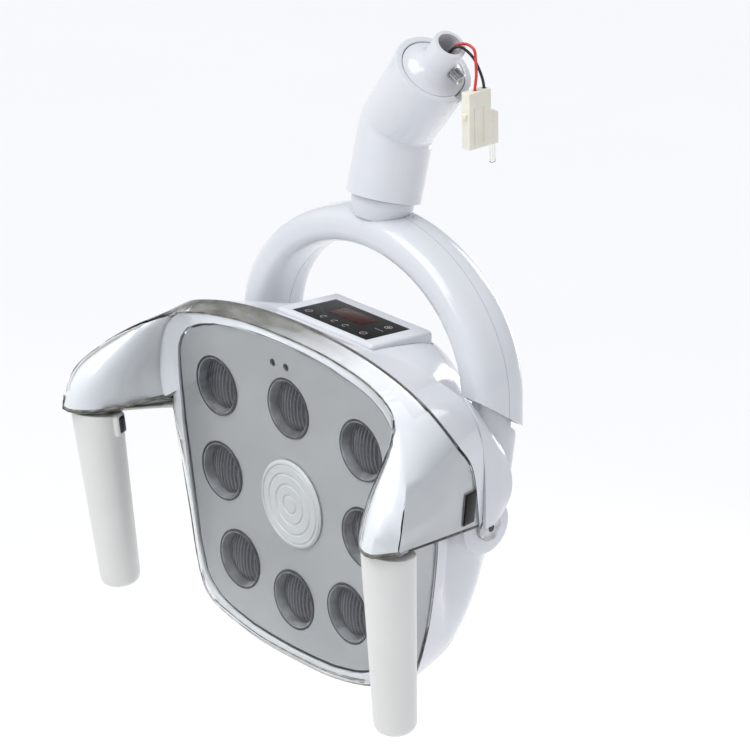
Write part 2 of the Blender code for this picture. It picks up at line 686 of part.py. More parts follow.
EAR_ROWS = [((121.6, 48.2, 84), (122.8, 48.6, 60), (123.4, 49.2, 38), (122.8, 49.8, 22), (122, 50, 8)),
            ((117.0, 58.0, 78), (121.0, 60.0, 58), (123.0, 61.0, 38), (122.4, 61.0, 22), (120.4, 60, 8.5)),
            ((112.6, 64.0, 66), (118.4, 70.0, 50), (120.6, 73.0, 36), (120.4, 72.6, 24), (118.2, 69, 13))]
for side in (-1, 1):
    bm = bmesh.new()
    columns = [catmull([Vector(p) for p in row], 2) for row in EAR_ROWS]
    lines = [catmull([column[i] for column in columns], 2) for i in range(len(columns[0]))]
    grid = [[bm.verts.new(mirrored(p, side)) for p in line] for line in lines]
    rows_to_faces(bm, grid, closed=False)
    turn_outward(bm, grid[3][2], (side, 0, 0))
    name = side_name("ear_cover", side)
    shell(name, mesh_from(bm, name), 2.4, WHITE, tilt_axis)

# ---------------------------------------------------------------- sensor windows in the cover's rear edge
WINDOW = (14.0, 19.0)
tip = range(WING_CORNER, LOW_START)
row = min(tip, key=lambda i: abs(rear_edge[i].z - 30))
along = (rim[row] - rear_edge[row]).normalized()
up = (rear_edge[row - 1] - rear_edge[row + 1]).normalized()
out = along.cross(up).normalized()
if out.x < 0:
    out = -out
up = out.cross(along).normalized()
for side in (-1, 1):
    flat = Matrix([[along[k], up[k], out[k]] for k in range(3)]).to_4x4()
    if side < 0:
        flat = Matrix.Diagonal((-1, 1, 1, 1)) @ flat
    place = mirrored(rear_edge[row] + along * (WINDOW[0] / 2 + 2.6) - out * 0.9, side)
    opening = block(side_name("window_opening", side), (WINDOW[0] + 1.0, WINDOW[1] + 1.0, 12.0), place,
                    None, tilt_axis, turn=flat, cutter=True)
    cut(front_cover, opening)
    cut(bezel, opening)
    block(side_name("sensor_window", side), (WINDOW[0], WINDOW[1], 2.6), place, GLASS, tilt_axis,
          bevel=0.8, turn=flat)

# ---------------------------------------------------------------- console on top of the head
CONSOLE_Y, CONSOLE_Z = 52.0, 102.3
CONSOLE_LEAN = math.radians(-4.35)
LEANED = Matrix.Rotation(CONSOLE_LEAN, 4, "X")


def on_console(x, y, z):
    """A point of the console's own frame, whose top face is at z = 7."""
    return LEANED @ Vector((x, y, z)) + Vector((0, CONSOLE_Y, CONSOLE_Z))


cut(rear_housing, block("console_opening", (92.6, 50.6, 40), on_console(0, 0, 0), None, tilt_axis,
                        turn=LEANED, cutter=True))
console_frame = block("console_frame", (92, 50, 14), on_console(0, 0, 0), WHITE, tilt_axis, bevel=2.4,
                      turn=LEANED)
cut(console_frame, block("console_pocket", (82, 40, 14), on_console(0, 0, -4), None, tilt_axis,
                         turn=LEANED, cutter=True))
cut(console_frame, block("panel_recess", (71, 36, 4), on_console(0, -2.6, 7.6), None, tilt_axis,
                         turn=LEANED, cutter=True))
block("control_panel", (70.4, 35.4, 1.3), on_console(0, -2.6, 6.4), GLASS, tilt_axis, bevel=0.3,
      turn=LEANED)
cut(console_frame, block("display_slot", (31, 15, 6), on_console(-3, 2, 4), None, tilt_axis,
                         turn=LEANED, cutter=True))
block("display", (30.4, 14.4, 2.2), on_console(-3, 2, 4.4), DISPLAY, tilt_axis, turn=LEANED)
block("driver_board", (76, 36, 1.6), on_console(0, 0, 0.6), BOARD, tilt_axis, turn=LEANED)

# ---------------------------------------------------------------- lamp board and heat sink inside the head
board_edge = [Vector((p.x * 0.84, 0, 5 + (p.z - 5) * 0.84)) for p in plate_ring(0.0, 0.0)]
loft("led_board", [[p + Vector((0, y, 0)) for p in board_edge] for y in (26.6, 28.2)], BOARD, tilt_axis)
FIN_COUNT, FIN_PITCH, FIN_THICK = 9, 12.0, 2.4
comb = [Vector((-54, 28.6, 0)), Vector((54, 28.6, 0))]
for k in range(FIN_COUNT):
    x = 48 - k * FIN_PITCH
    comb += [Vector((x + FIN_THICK, 32.5, 0)), Vector((x + FIN_THICK / 2, 48, 0)),
             Vector((x - FIN_THICK / 2, 48, 0)), Vector((x - FIN_THICK, 32.5, 0))]
loft("heat_sink", [[p + Vector((0, 0, z)) for p in comb] for z in (-50, 52)], ALLOY, tilt_axis)

# ---------------------------------------------------------------- handles with their sockets and buttons
WING_SLOPE = -0.24              # the wing's underside falls by this much along +Y
STEM_R, BORE_CLEAR = 10.2, 0.4
BUTTON_DROP = 8.4               # button centre below the handle's top
BUTTON_FACE = 19.6              # outer face of the button, from the handle's axis


def coil(name, radius, wire, turns, start, end, mat, parent):
    """A spring between two points, as one closed wire."""
    axis = frame_along(end - start, start)
    length = (end - start).length
    path = []
    count = int(turns * 8)
    for k in range(count + 1):
        a = 2 * math.pi * k / 8
        path.append(Vector((radius * math.cos(a), radius * math.sin(a), length * k / count)))
    rings = []
    for k, p in enumerate(path):
        ahead = (path[min(k + 1, count)] - path[max(k - 1, 0)]).normalized()
        outward = Vector((p.x, p.y, 0)).normalized()
        third = ahead.cross(outward).normalized()
        ring = []
        for j in range(5):
            b = 2 * math.pi * j / 5
            ring.append(axis @ (p + (outward * math.cos(b) + third * math.sin(b)) * wire))
        rings.append(ring)
    return loft(name, rings, mat, parent)


button_axes = {}
for side in (-1, 1):
    top = mirrored(HANDLE_TOP, side)
    along = mirrored(HANDLE_DIR, side)
    end = -HANDLE_LENGTH - 4.5
    taper = (HANDLE_R - HANDLE_FOOT_R) / HANDLE_LENGTH
    stem = [(STEM_R, 7.4), (STEM_R, -34), (0, -34), (0, 10.4), (11.4, 10.4), (11.4, 7.4)]
    socket = turned(side_name("handle_socket", side), stem, ALLOY, tilt_axis, top, along, steps=20)
    bore = STEM_R + BORE_CLEAR
    sleeve = [(HANDLE_R - 0.6, -0.9), (HANDLE_R, -1.7), (HANDLE_R, -6.5),
              (HANDLE_R - taper * 50, -50), (HANDLE_FOOT_R, end + 6.5), (HANDLE_FOOT_R - 1.2, end + 2.2),
              (HANDLE_FOOT_R - 4.4, end + 0.3), (0, end), (0, -38), (bore, -35), (bore, -0.9)]
    handle = turned(side_name("handle", side), sleeve, SATIN, tilt_axis, top, along, steps=24,
                    slant=(-6.5, WING_SLOPE))
    inward = Vector((-0.93 * side, 0.37, 0))
    inward = (inward - along * inward.dot(along)).normalized()
    button_place = top - along * BUTTON_DROP
    facing = Matrix([[inward[k], along.cross(inward)[k], along[k]] for k in range(3)]).to_4x4()
    boss = block(side_name("button_boss", side), (7, 11, 15), button_place + inward * 14.9, None,
                 tilt_axis, bevel=2.6, turn=facing, cutter=True)
    join(handle, boss)
    cut(handle, block(side_name("button_pocket", side), (7.6, 6.6, 11.6), button_place + inward * 16.2,
                      None, tilt_axis, turn=facing, cutter=True))
    spring_hole = turned(side_name("spring_hole", side), [(0, 14), (2.8, 14), (2.8, 7), (0, 7)], None,
                         tilt_axis, button_place, inward, steps=12, cutter=True)
    cut(handle, spring_hole)
    cut(socket, spring_hole)
    axis = empty(side_name("button_axis", side), button_place + inward * BUTTON_FACE, tilt_axis)
    button_axes[side] = axis
    block(side_name("release_button", side), (5.0, 6, 11), button_place + inward * (BUTTON_FACE - 2.5),
          DARK, axis, bevel=1.5, turn=facing)
    coil(side_name("button_spring", side), 2.0, 0.3, 3.5, button_place + inward * 7.6,
         button_place + inward * (BUTTON_FACE - 5.5), STEEL, tilt_axis)

# ---------------------------------------------------------------- yoke: two half shells
SOFT, FIRM = 2 / 2.8, 2 / 3.6    # roundness of the section's corners


def arch_stations():
    """Centre, outward direction and slimming of the yoke's section, from one foot over to the other."""
    stations = [(Vector((ARCH_HALF, ARCH_Y_FOOT, z)), Vector((1, 0, 0)), 0.0) for z in (46.0, 64.0)]
    count = 16
    for k in range(count + 1):
        a = math.pi * k / count
        lift = math.sin(a)
        centre = Vector((ARCH_HALF * math.cos(a), ARCH_Y_FOOT + (ARCH_Y_TOP - ARCH_Y_FOOT) * lift,
                         TILT_Z + ARCH_SPRING + ARCH_RISE * lift))
        outward = Vector((math.cos(a) / ARCH_HALF, 0, lift / ARCH_RISE)).normalized()
        stations.append((centre, outward, lift))
    return stations + [(c * FLIP, o * FLIP, s) for c, o, s in stations[1::-1]]


def half_section(centre, outward, slim, facing, inset):
    points = []
    for k in range(7):
        a = math.pi * k / 6
        power = FIRM if k < 3 and facing < 0 else SOFT
        wide = (ARM_OUT if k < 3 else ARM_IN) - ARM_SLIMMER * slim - inset
        deep = (ARM_FRONT if facing < 0 else ARM_REAR) - inset
        across = math.copysign(abs(math.cos(a)) ** power, math.cos(a)) * wide
        depth = abs(math.sin(a)) ** power * deep + GAP / 2
        points.append(centre + outward * across + Vector((0, facing * depth, 0)))
    return points


foot_cut = Matrix.Rotation(math.radians(-35.6), 4, "X")
foot_cutter = block("foot_cutter", (300, 140, 60),
                    Vector((0, 73.5, 72.5)) - foot_cut @ Vector((0, 0, 30)), None, neck_axis,
                    turn=foot_cut, cutter=True)
COLLAR = [(NECK_R, -0.4), (NECK_R, -5), (NECK_R - 1.2, -9), (NECK_R - 3.6, -14)]
collar_hole = turned("collar_hole", [(0, 2)] + [(r + GAP, h) for r, h in [(NECK_R, 2)] + COLLAR]
                     + [(11.6, -14.3), (11.6, -18), (0, -18)], None, neck_axis, NECK_FOOT, NECK_DIR,
                     steps=24, cutter=True)
for name, facing in (("yoke_front", -1), ("yoke_rear", 1)):
    rings = []
    for centre, outward, slim in arch_stations():
        rings.append(half_section(centre, outward, slim, facing, 0.0)
                     + half_section(centre, outward, slim, facing, YOKE_WALL)[::-1])
    yoke_half = loft(name, rings, WHITE, neck_axis)
    cut(yoke_half, foot_cutter)
    cut(yoke_half, collar_hole)

SHAFT_R = 10.0
turned("neck_collar", COLLAR + [(SHAFT_R + GAP, -14), (SHAFT_R + GAP, -0.4)], WHITE, neck_axis, NECK_FOOT,
       NECK_DIR, steps=24)
turned("neck_shaft", [(SHAFT_R - 1, 36), (SHAFT_R, 35), (SHAFT_R, -17), (10.9, -17), (10.9, -20), (6.2, -20),
                      (6.2, 36)], STEEL, neck_axis, NECK_FOOT, NECK_DIR)

# ---------------------------------------------------------------- arm ends and pivots
# height, then x from and to, then y from and to
ARM_END = ((86, 96, 109, 61, 86), (68, 95, 108, 59, 86.8), (60, 94.4, 108.4, 57.8, 87.4),
           (57, 94, 109, 57, 90.6), (52, 93.6, 109, 56.5, 91),
           (34, 92, 110, 53.4, 87), (16, 91.8, 110, 51, 80), (2, 91.8, 110, 49, 76))
PIVOT_SPAN = (91.8, 110.0)
PIN_R = 5.0
for side in (-1, 1):
    rings = []
    for z, x0, x1, y0, y1 in ARM_END:
        ring = []
        for k in range(12):
            a = 2 * math.pi * (k + 0.5) / 12
            px = math.copysign(abs(math.cos(a)) ** 0.6, math.cos(a)) * (x1 - x0) / 2
            py = math.copysign(abs(math.sin(a)) ** 0.6, math.sin(a)) * (y1 - y0) / 2
            ring.append(mirrored(((x0 + x1) / 2 + px, (y0 + y1) / 2 + py, z), side))
        rings.append(ring)
    arm_end = loft(side_name("arm_end", side), rings, WHITE, neck_axis)
    pivot = Vector((0, TILT_Y, TILT_Z))
    outward = (side, 0, 0)
    boss = turned(side_name("arm_boss", side),
                  [(BOSS_R - 1.5, PIVOT_SPAN[1]), (BOSS_R, PIVOT_SPAN[1] - 1.5), (BOSS_R, PIVOT_SPAN[0]),
                   (0, PIVOT_SPAN[0]), (0, PIVOT_SPAN[1])], None, neck_axis, pivot, outward, steps=24,
                  cutter=True)
    join(arm_end, boss)
    pin_hole = turned(side_name("pin_hole", side), [(0, 130), (PIN_R + GAP, 130), (PIN_R + GAP, 85), (0, 85)],
                      None, neck_axis, pivot, outward, steps=20, cutter=True)
    cut(arm_end, pin_hole)
    turned(side_name("pivot_pin", side),
           [(0, 114), (7.6, 114), (8.6, 113), (8.6, 110.3), (PIN_R, 110.3), (PIN_R, 78.6), (8, 78.6),
            (8, 75), (0, 75)], STEEL, neck_axis, pivot, outward, steps=20)
    bush_hole = turned(side_name("bush_hole", side), [(0, 100), (8.3, 100), (8.3, 70), (0, 70)], None,
                       tilt_axis, pivot, outward, cutter=True)
    cut(rear_housing, bush_hole)
    turned(side_name("pivot_bush", side),
           [(14, 91.4), (14, 88.0), (8, 88.0), (8, 79), (PIN_R + GAP, 79), (PIN_R + GAP, 91.4)], ACETAL,
           tilt_axis, pivot, outward)

# ---------------------------------------------------------------- elbow
BEND_AXIS = NECK_DIR.cross(SPIGOT_DIR).normalized()
BEND_HALF = NECK_DIR.angle(SPIGOT_DIR) / 2


def hoop(place, direction, radius, stretch=1.0, outer=1.0):
    """A ring of points square to a direction; stretch widens it in the plane of the bend."""
    across = direction.cross(BEND_AXIS).normalized()
    inner_side = SPIGOT_DIR - NECK_DIR
    ring = []
    for k in range(20):
        a = 2 * math.pi * k / 20
        reach = across * math.sin(a) * radius * stretch
        if reach.dot(inner_side) < 0:
            reach *= outer
        ring.append(place + BEND_AXIS * math.cos(a) * radius + reach)
    return ring


def elbow_side(wall):
    """Rings from the neck's foot up to just under the rim, a wall's thickness inside the outer surface."""
    middle = (NECK_DIR + SPIGOT_DIR).normalized()
    wide = 1 / math.cos(BEND_HALF)
    low, high = ELBOW_R - wall, RING_R - wall
    return [hoop(NECK_FOOT, NECK_DIR, low), hoop(NECK_FOOT + NECK_DIR * 20, NECK_DIR, low),
            hoop(MITRE - NECK_DIR * 12, NECK_DIR, low, 1.0, 1.0),
            hoop(MITRE, middle, low, wide, 0.93),
            hoop(MITRE + SPIGOT_DIR * 12, SPIGOT_DIR, low + (high - low) * 0.3),
            hoop(MITRE + SPIGOT_DIR * 32, SPIGOT_DIR, low + (high - low) * 0.7)]


LEDGE_R = 20.8
elbow_rings = elbow_side(0.0)
elbow_rings += [hoop(RING - SPIGOT_DIR * 1.2, SPIGOT_DIR, RING_R), hoop(RING, SPIGOT_DIR, RING_R - 1.0),
                hoop(RING, SPIGOT_DIR, LEDGE_R), hoop(RING - SPIGOT_DIR * 6.0, SPIGOT_DIR, LEDGE_R),
                hoop(RING - SPIGOT_DIR * 7.6, SPIGOT_DIR, RING_R - ELBOW_WALL)]
elbow_rings += elbow_side(ELBOW_WALL)[::-1]
elbow = loft("elbow", elbow_rings, WHITE, elbow_axis, closed_path=True)
RING_DOWN = Vector((SPIGOT_DIR.z, 0, -SPIGOT_DIR.x))
spin = Matrix([[RING_DOWN[k], (0, 1, 0)[k], SPIGOT_DIR[k]] for k in range(3)]).to_4x4()
notch_turn = spin @ Matrix.Rotation(math.radians(14), 4, "Z")
cut(elbow, block("rim_notch", (9, 8, 7), RING + notch_turn @ Vector((24.5, 0, 0)), None, elbow_axis,
                 turn=notch_turn, cutter=True))
turned("spigot_bearing", [(21.5, -8.2), (21.3, -20), (13.4, -20), (13.4, -8.2)], ACETAL, elbow_axis, RING,
       SPIGOT_DIR, steps=24)
turned("neck_bearing", [(20.4, 16), (20.4, 3), (SHAFT_R + GAP, 3), (SHAFT_R + GAP, 16)], ACETAL,
       elbow_axis, NECK_FOOT, NECK_DIR, steps=24)

# ---------------------------------------------------------------- spigot, fixed to the arm of the unit
spigot = turned("spigot", [(SPIGOT_R - 0.7, SPIGOT_REACH), (SPIGOT_R, SPIGOT_REACH - 0.8), (SPIGOT_R, 9),
                           (12.0, 5.0), (15.6, 1.2), (20.3, -0.6), (20.3, -5.6), (13, -7.6), (13, -28),
                           (BORE_R, -28), (BORE_R, SPIGOT_REACH)], WHITE, arm_end_axis, RING, SPIGOT_DIR,
                steps=24)
turned("retaining_ring", [(17.5, -20.6), (17.5, -22.6), (13.3, -22.6), (13.3, -20.6)], STEEL,
       arm_end_axis, RING, SPIGOT_DIR, steps=24)
screw_turn = spin @ Matrix.Rotation(math.radians(12), 4, "Z")
screw_dir = screw_turn @ Vector((1, 0, 0))
SCREW_UP = 9.6
screw_place = RING + SPIGOT_DIR * SCREW_UP
cut(spigot, turned("screw_hole", [(0, 24), (4.5, 24), (4.5, 11.0), (2.4, 10.8), (2.4, 5), (0, 5)], None,
                   arm_end_axis, screw_place, screw_dir, steps=16, cutter=True))
set_screw = turned("set_screw", [(3.4, 18.2), (4.1, 17.4), (4.1, 11.4), (2.1, 11.2), (2.1, 8.4), (0, 8.4),
                                 (0, 15.2), (1.7, 15.2), (1.7, 18.2)], STEEL, arm_end_axis, screw_place,
                   screw_dir, steps=16)

# ---------------------------------------------------------------- leads and their connector
RED_ROUTE = [(46.4, 93.4, 281.4), (50.6, 95.6, 286.6), (55.2, 98.8, 287.4), (60.8, 99.6, 285.0),
             (63.6, 98.2, 279.8), (66.2, 96.3, 271.9), (66.3, 95.6, 267.0), (66, 95.2, 262.3), (66, 95.2, 257)]
BLACK_ROUTE = [(47.0, 90.0, 280.6), (51.6, 91.6, 285.6), (54.9, 93.3, 286.9), (58.4, 95.9, 284.6),
               (61.0, 99.0, 279.9), (63.4, 100.5, 274.4), (65.3, 101.9, 268.0), (66, 102.6, 262.3),
               (66, 102.6, 257)]


def cord(name, route, mat):
    points = resampled(catmull([Vector(p) for p in route], 8), 10)
    curve = bpy.data.curves.new(name, "CURVE")
    curve.dimensions = "3D"
    curve.bevel_depth = LEAD_R * MM
    curve.bevel_resolution = 2
    curve.use_fill_caps = True
    spline = curve.splines.new("POLY")
    spline.points.add(len(points) - 1)
    for point, place in zip(spline.points, points):
        point.co = (*((place - Vector(arm_end_axis["place"])) * MM), 1.0)
    curve.materials.append(mat)
    obj = bpy.data.objects.new(name, curve)
    parts.objects.link(obj)
    obj.parent = arm_end_axis


cord("lead_red", RED_ROUTE, RED)
cord("lead_black", BLACK_ROUTE, BLACK)

CONNECTOR_X, CONNECTOR_Z = 66.0, 244.2
connector = block("connector", (7, 18, 35.4), (CONNECTOR_X, 96.4, CONNECTOR_Z), NYLON, arm_end_axis, bevel=0.7)
join(connector, block("connector_rail", (5.6, 7, 20), (CONNECTOR_X, 108.2, 236.2), None, arm_end_axis,
                      bevel=0.5, cutter=True))
join(connector, block("connector_lug", (3.4, 2.4, 3), (CONNECTOR_X, 87.0, 247.5), None, arm_end_axis,
                      cutter=True))
for number, y in enumerate((95.2, 102.6), 1):
    cut(connector, turned(f"lead_hole_{number}", [(0, 8), (1.3, 8), (1.3, -5.6), (0, -5.6)], None,
                          arm_end_axis, (CONNECTOR_X, y, 261.9), steps=12, cutter=True))
cut(connector, block("latch_slot", (2.6, 4.6, 8), (CONNECTOR_X + 0.4, 108.6, 227.4), None, arm_end_axis,
                     cutter=True))
block("connector_latch", (2, 4, 17), (CONNECTOR_X + 0.4, 108.6, 222.4), CLEAR, arm_end_axis, bevel=0.5)
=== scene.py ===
"""Looks of the dental operating light: a fine skin, glass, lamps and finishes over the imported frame.

The tables are in millimetres in the face frame: its origin is the middle of the lamp face, the face
looks along -Y and +X is to its right. ORIGIN shifts them to the frame's own origin, in metres.
"""
import math
import random

import bmesh
import bpy
from mathutils import Matrix, Vector


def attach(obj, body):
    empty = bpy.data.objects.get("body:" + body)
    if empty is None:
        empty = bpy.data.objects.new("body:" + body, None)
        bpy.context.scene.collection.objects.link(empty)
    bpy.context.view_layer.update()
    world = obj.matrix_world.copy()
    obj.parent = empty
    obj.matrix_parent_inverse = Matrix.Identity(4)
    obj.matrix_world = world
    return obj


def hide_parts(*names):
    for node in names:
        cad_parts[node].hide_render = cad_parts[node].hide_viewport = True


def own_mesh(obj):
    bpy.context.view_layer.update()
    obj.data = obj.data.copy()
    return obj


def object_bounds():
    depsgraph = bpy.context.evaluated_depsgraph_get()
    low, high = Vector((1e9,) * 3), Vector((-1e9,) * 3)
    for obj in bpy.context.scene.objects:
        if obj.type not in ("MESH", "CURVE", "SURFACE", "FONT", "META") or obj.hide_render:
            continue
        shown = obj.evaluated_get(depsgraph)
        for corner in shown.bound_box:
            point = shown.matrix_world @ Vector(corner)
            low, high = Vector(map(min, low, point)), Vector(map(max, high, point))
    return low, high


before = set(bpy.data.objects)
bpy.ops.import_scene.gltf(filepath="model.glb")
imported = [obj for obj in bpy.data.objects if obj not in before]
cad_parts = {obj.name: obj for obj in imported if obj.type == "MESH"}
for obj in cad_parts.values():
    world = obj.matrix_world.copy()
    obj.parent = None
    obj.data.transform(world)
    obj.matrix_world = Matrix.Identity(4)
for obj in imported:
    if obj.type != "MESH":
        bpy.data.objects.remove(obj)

CAD_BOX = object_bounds()
MM = 0.001
GAP = 0.3
random.seed(7)

# joint axes and centre lines
TILT_Y, TILT_Z = 62.0, 2.0
NECK_LEAN = math.radians(15.8)
NECK_FOOT = Vector((0.0, 78.5, 183.0))
NECK_LENGTH = 45.6
SPIGOT_LEAN = math.radians(39.0)
ELBOW_LEG = 54.6
SPIGOT_REACH = 24.0
NECK_DIR = Vector((0.0, math.sin(NECK_LEAN), math.cos(NECK_LEAN)))
SPIGOT_DIR = Vector((math.sin(SPIGOT_LEAN), 0.0, math.cos(SPIGOT_LEAN)))
MITRE = NECK_FOOT + NECK_DIR * NECK_LENGTH
RING = MITRE + SPIGOT_DIR * ELBOW_LEG
ORIGIN = RING + SPIGOT_DIR * SPIGOT_REACH

# sizes that the looks share with the frame
SHEET_Y = -8.0
COVER_WALL = 2.4
BEZEL_INSET = 2.7
BEZEL_WALL = 1.6
DEEPEST = BEZEL_INSET + BEZEL_WALL
BAND_SINK = 1.15
EVEN_ROUNDS = 26
ROOM_SHARE, ROOM_STEP = 0.3, 0.06
HOUSING_WALL = 2.5
PLATE_RISE = 2.8
LENS_R = 20.0
LAMPS = ((-70.0, 59.0), (0.0, 64.5), (70.0, 59.0), (-69.0, 0.5), (69.0, 0.5),
         (-53.5, -56.0), (0.0, -66.0), (53.5, -56.0))
BADGE_R = 29.0
HANDLE_TOP = Vector((142.7, -45.0, 32.6))
HANDLE_FOOT = Vector((137.0, -37.5, -85.5))
HANDLE_DIR = (HANDLE_TOP - HANDLE_FOOT).normalized()
HANDLE_LENGTH = (HANDLE_TOP - HANDLE_FOOT).length
HANDLE_R, HANDLE_FOOT_R = 16.2, 13.2
ARCH_HALF, ARCH_RISE, ARCH_SPRING = 103.5, 84.0, 76.0
ARCH_Y_FOOT, ARCH_Y_TOP = 73.5, 79.0
ARM_OUT, ARM_IN, ARM_FRONT, ARM_REAR = 15.0, 12.0, 21.0, 17.5
ARM_SLIMMER = 2.0
YOKE_WALL = 2.6
BOSS_R = 18.6
NECK_R, ELBOW_R, RING_R, ELBOW_WALL = 19.7, 23.6, 25.0, 2.8
SPIGOT_R, BORE_R, LEAD_R = 10.4, 7.8, 0.9
SOCKET_HOLE_R = 10.8
RIB_SCALE = 2 * math.pi / (20 * 0.0029)    # the lens's ribs stand 2.9 mm apart


def at(place):
    """A face-frame point in the frame's metres."""
    return (Vector(place) - ORIGIN) * MM


# ---------------------------------------------------------------- camera
back = Vector((0.7062, -0.5968, 0.3811)).normalized()
right = Vector((0.6518, 0.7582, -0.0205)).normalized()
lift = back.cross(right).normalized()
right = lift.cross(back).normalized()
cam_data = bpy.data.cameras.new("camera")
cam = bpy.data.objects.new("camera", cam_data)
bpy.context.scene.collection.objects.link(cam)
cam_data.sensor_width = 36.0
cam_data.lens = 157.0
cam_data.clip_start, cam_data.clip_end = 0.05, 40.0
turn = Matrix((right, lift, back)).transposed().to_4x4()
cam.matrix_world = Matrix.Translation(at(back * 2033 + right * 50.5 + lift * 79.8)) @ turn
bpy.context.scene.camera = cam


# ---------------------------------------------------------------- finishes
def surface(name, colour, other, rough, spread=0.04, patch=35.0, grain=900.0, bump=0.02, metallic=0.0, coat=0.0,
            streak=None):
    """A finish whose colour drifts over patches and whose fine grain shows in bump and roughness."""
    mat = bpy.data.materials.new(name)
    mat.use_nodes = True
    nodes, links = mat.node_tree.nodes, mat.node_tree.links
    shader = nodes["Principled BSDF"]
    shader.inputs["Metallic"].default_value = metallic
    shader.inputs["Coat Weight"].default_value = coat
    shader.inputs["Coat Roughness"].default_value = 0.06
    coords = nodes.new("ShaderNodeTexCoord")
    place = nodes.new("ShaderNodeMapping")
    if streak:
        place.inputs["Scale"].default_value = streak
    links.new(coords.outputs["Object"], place.inputs["Vector"])
    drift = nodes.new("ShaderNodeTexNoise")
    drift.inputs["Scale"].default_value = patch
    drift.inputs["Detail"].default_value = 4.0
    links.new(place.outputs["Vector"], drift.inputs["Vector"])
    ramp = nodes.new("ShaderNodeValToRGB")
    ramp.color_ramp.elements[0].position = 0.32
    ramp.color_ramp.elements[1].position = 0.68
    ramp.color_ramp.elements[0].color = (*colour, 1.0)
    ramp.color_ramp.elements[1].color = (*other, 1.0)
    links.new(drift.outputs["Fac"], ramp.inputs["Fac"])
    links.new(ramp.outputs["Color"], shader.inputs["Base Color"])
    fine = nodes.new("ShaderNodeTexNoise")
    fine.inputs["Scale"].default_value = grain
    fine.inputs["Detail"].default_value = 3.0
    links.new(place.outputs["Vector"], fine.inputs["Vector"])
    spans = nodes.new("ShaderNodeMapRange")
    spans.inputs["To Min"].default_value = max(0.02, rough - spread)
    spans.inputs["To Max"].default_value = rough + spread
    links.new(fine.outputs["Fac"], spans.inputs["Value"])
    links.new(spans.outputs["Result"], shader.inputs["Roughness"])
    relief = nodes.new("ShaderNodeBump")
    relief.inputs["Strength"].default_value = bump
    relief.inputs["Distance"].default_value = 0.0003
    links.new(fine.outputs["Fac"], relief.inputs["Height"])
    links.new(relief.outputs["Normal"], shader.inputs["Normal"])
    return mat


def clear(name, colour, rough, ior=1.49, grain=300.0):
    """Clear moulded plastic or glass: it refracts, but lets light through to what lies under it."""
    mat = surface(name, colour, tuple(c * 0.97 for c in colour), rough, 0.01, 30.0, grain, 0.01)
    nodes, links = mat.node_tree.nodes, mat.node_tree.links
    shader = nodes["Principled BSDF"]
    shader.inputs["Transmission Weight"].default_value = 1.0
    shader.inputs["IOR"].default_value = ior
    path = nodes.new("ShaderNodeLightPath")
    through = nodes.new("ShaderNodeBsdfTransparent")
    through.inputs["Color"].default_value = (0.95, 0.96, 0.96, 1.0)
    blend = nodes.new("ShaderNodeMixShader")
    links.new(path.outputs["Is Shadow Ray"], blend.inputs["Fac"])
    links.new(shader.outputs["BSDF"], blend.inputs[1])
    links.new(through.outputs["BSDF"], blend.inputs[2])
    links.new(blend.outputs["Shader"], nodes["Material Output"].inputs["Surface"])
    return mat


GLOSS = surface("gloss_white", (0.70, 0.72, 0.755), (0.73, 0.745, 0.78), 0.16, 0.03, 20, 500, 0.015, coat=0.4)
SATIN = surface("satin_white", (0.735, 0.73, 0.71), (0.77, 0.765, 0.745), 0.36, 0.05, 25, 1500, 0.06)
COVER = clear("clear_polycarbonate", (0.95, 0.96, 0.96), 0.02, 1.22)
# painted reflection: this dark colour stands in for the clear cover's edges mirroring dark surroundings, on the rim
# lines, the wings' undersides and the left end of the rear edge
PAINTED_EDGE_REFLECTION = surface("cover_edge_painted_reflection", (0.045, 0.042, 0.034), (0.30, 0.29, 0.25), 0.2, 0.08, 170, 700, 0.08)


def ribbed(name):
    """The lamp's lens: navy glass over upright ribs, which ripple its gloss; its lighter bands are painted highlights
    on the ribs.
    """
    mat = surface(name, (0.004, 0.005, 0.010), (0.012, 0.014, 0.026), 0.08, 0.03, 150, 500, 0.02)
    nodes, links = mat.node_tree.nodes, mat.node_tree.links
    shader = nodes["Principled BSDF"]
    coords = nodes.new("ShaderNodeTexCoord")
    wave = nodes.new("ShaderNodeTexWave")
    wave.bands_direction = "X"
    wave.inputs["Scale"].default_value = RIB_SCALE
    wave.inputs["Distortion"].default_value = 0.0
    links.new(coords.outputs["Object"], wave.inputs["Vector"])
    # painted highlight: the lighter end of this ramp paints light caught on the ribs as bands
    painted_rib_highlights = nodes.new("ShaderNodeValToRGB")
    painted_rib_highlights.color_ramp.elements[0].position = 0.55
    painted_rib_highlights.color_ramp.elements[0].color = (0.002, 0.002, 0.005, 1.0)
    painted_rib_highlights.color_ramp.elements[1].color = (0.075, 0.080, 0.115, 1.0)
    links.new(wave.outputs["Fac"], painted_rib_highlights.inputs["Fac"])
    links.new(painted_rib_highlights.outputs["Color"], shader.inputs["Base Color"])
    ripple = nodes.new("ShaderNodeBump")
    shader.inputs["IOR"].default_value = 1.4
    ripple.inputs["Strength"].default_value = 0.08
    ripple.inputs["Distance"].default_value = 0.0004
    links.new(wave.outputs["Fac"], ripple.inputs["Height"])
    links.new(ripple.outputs["Normal"], shader.inputs["Normal"])
    return mat


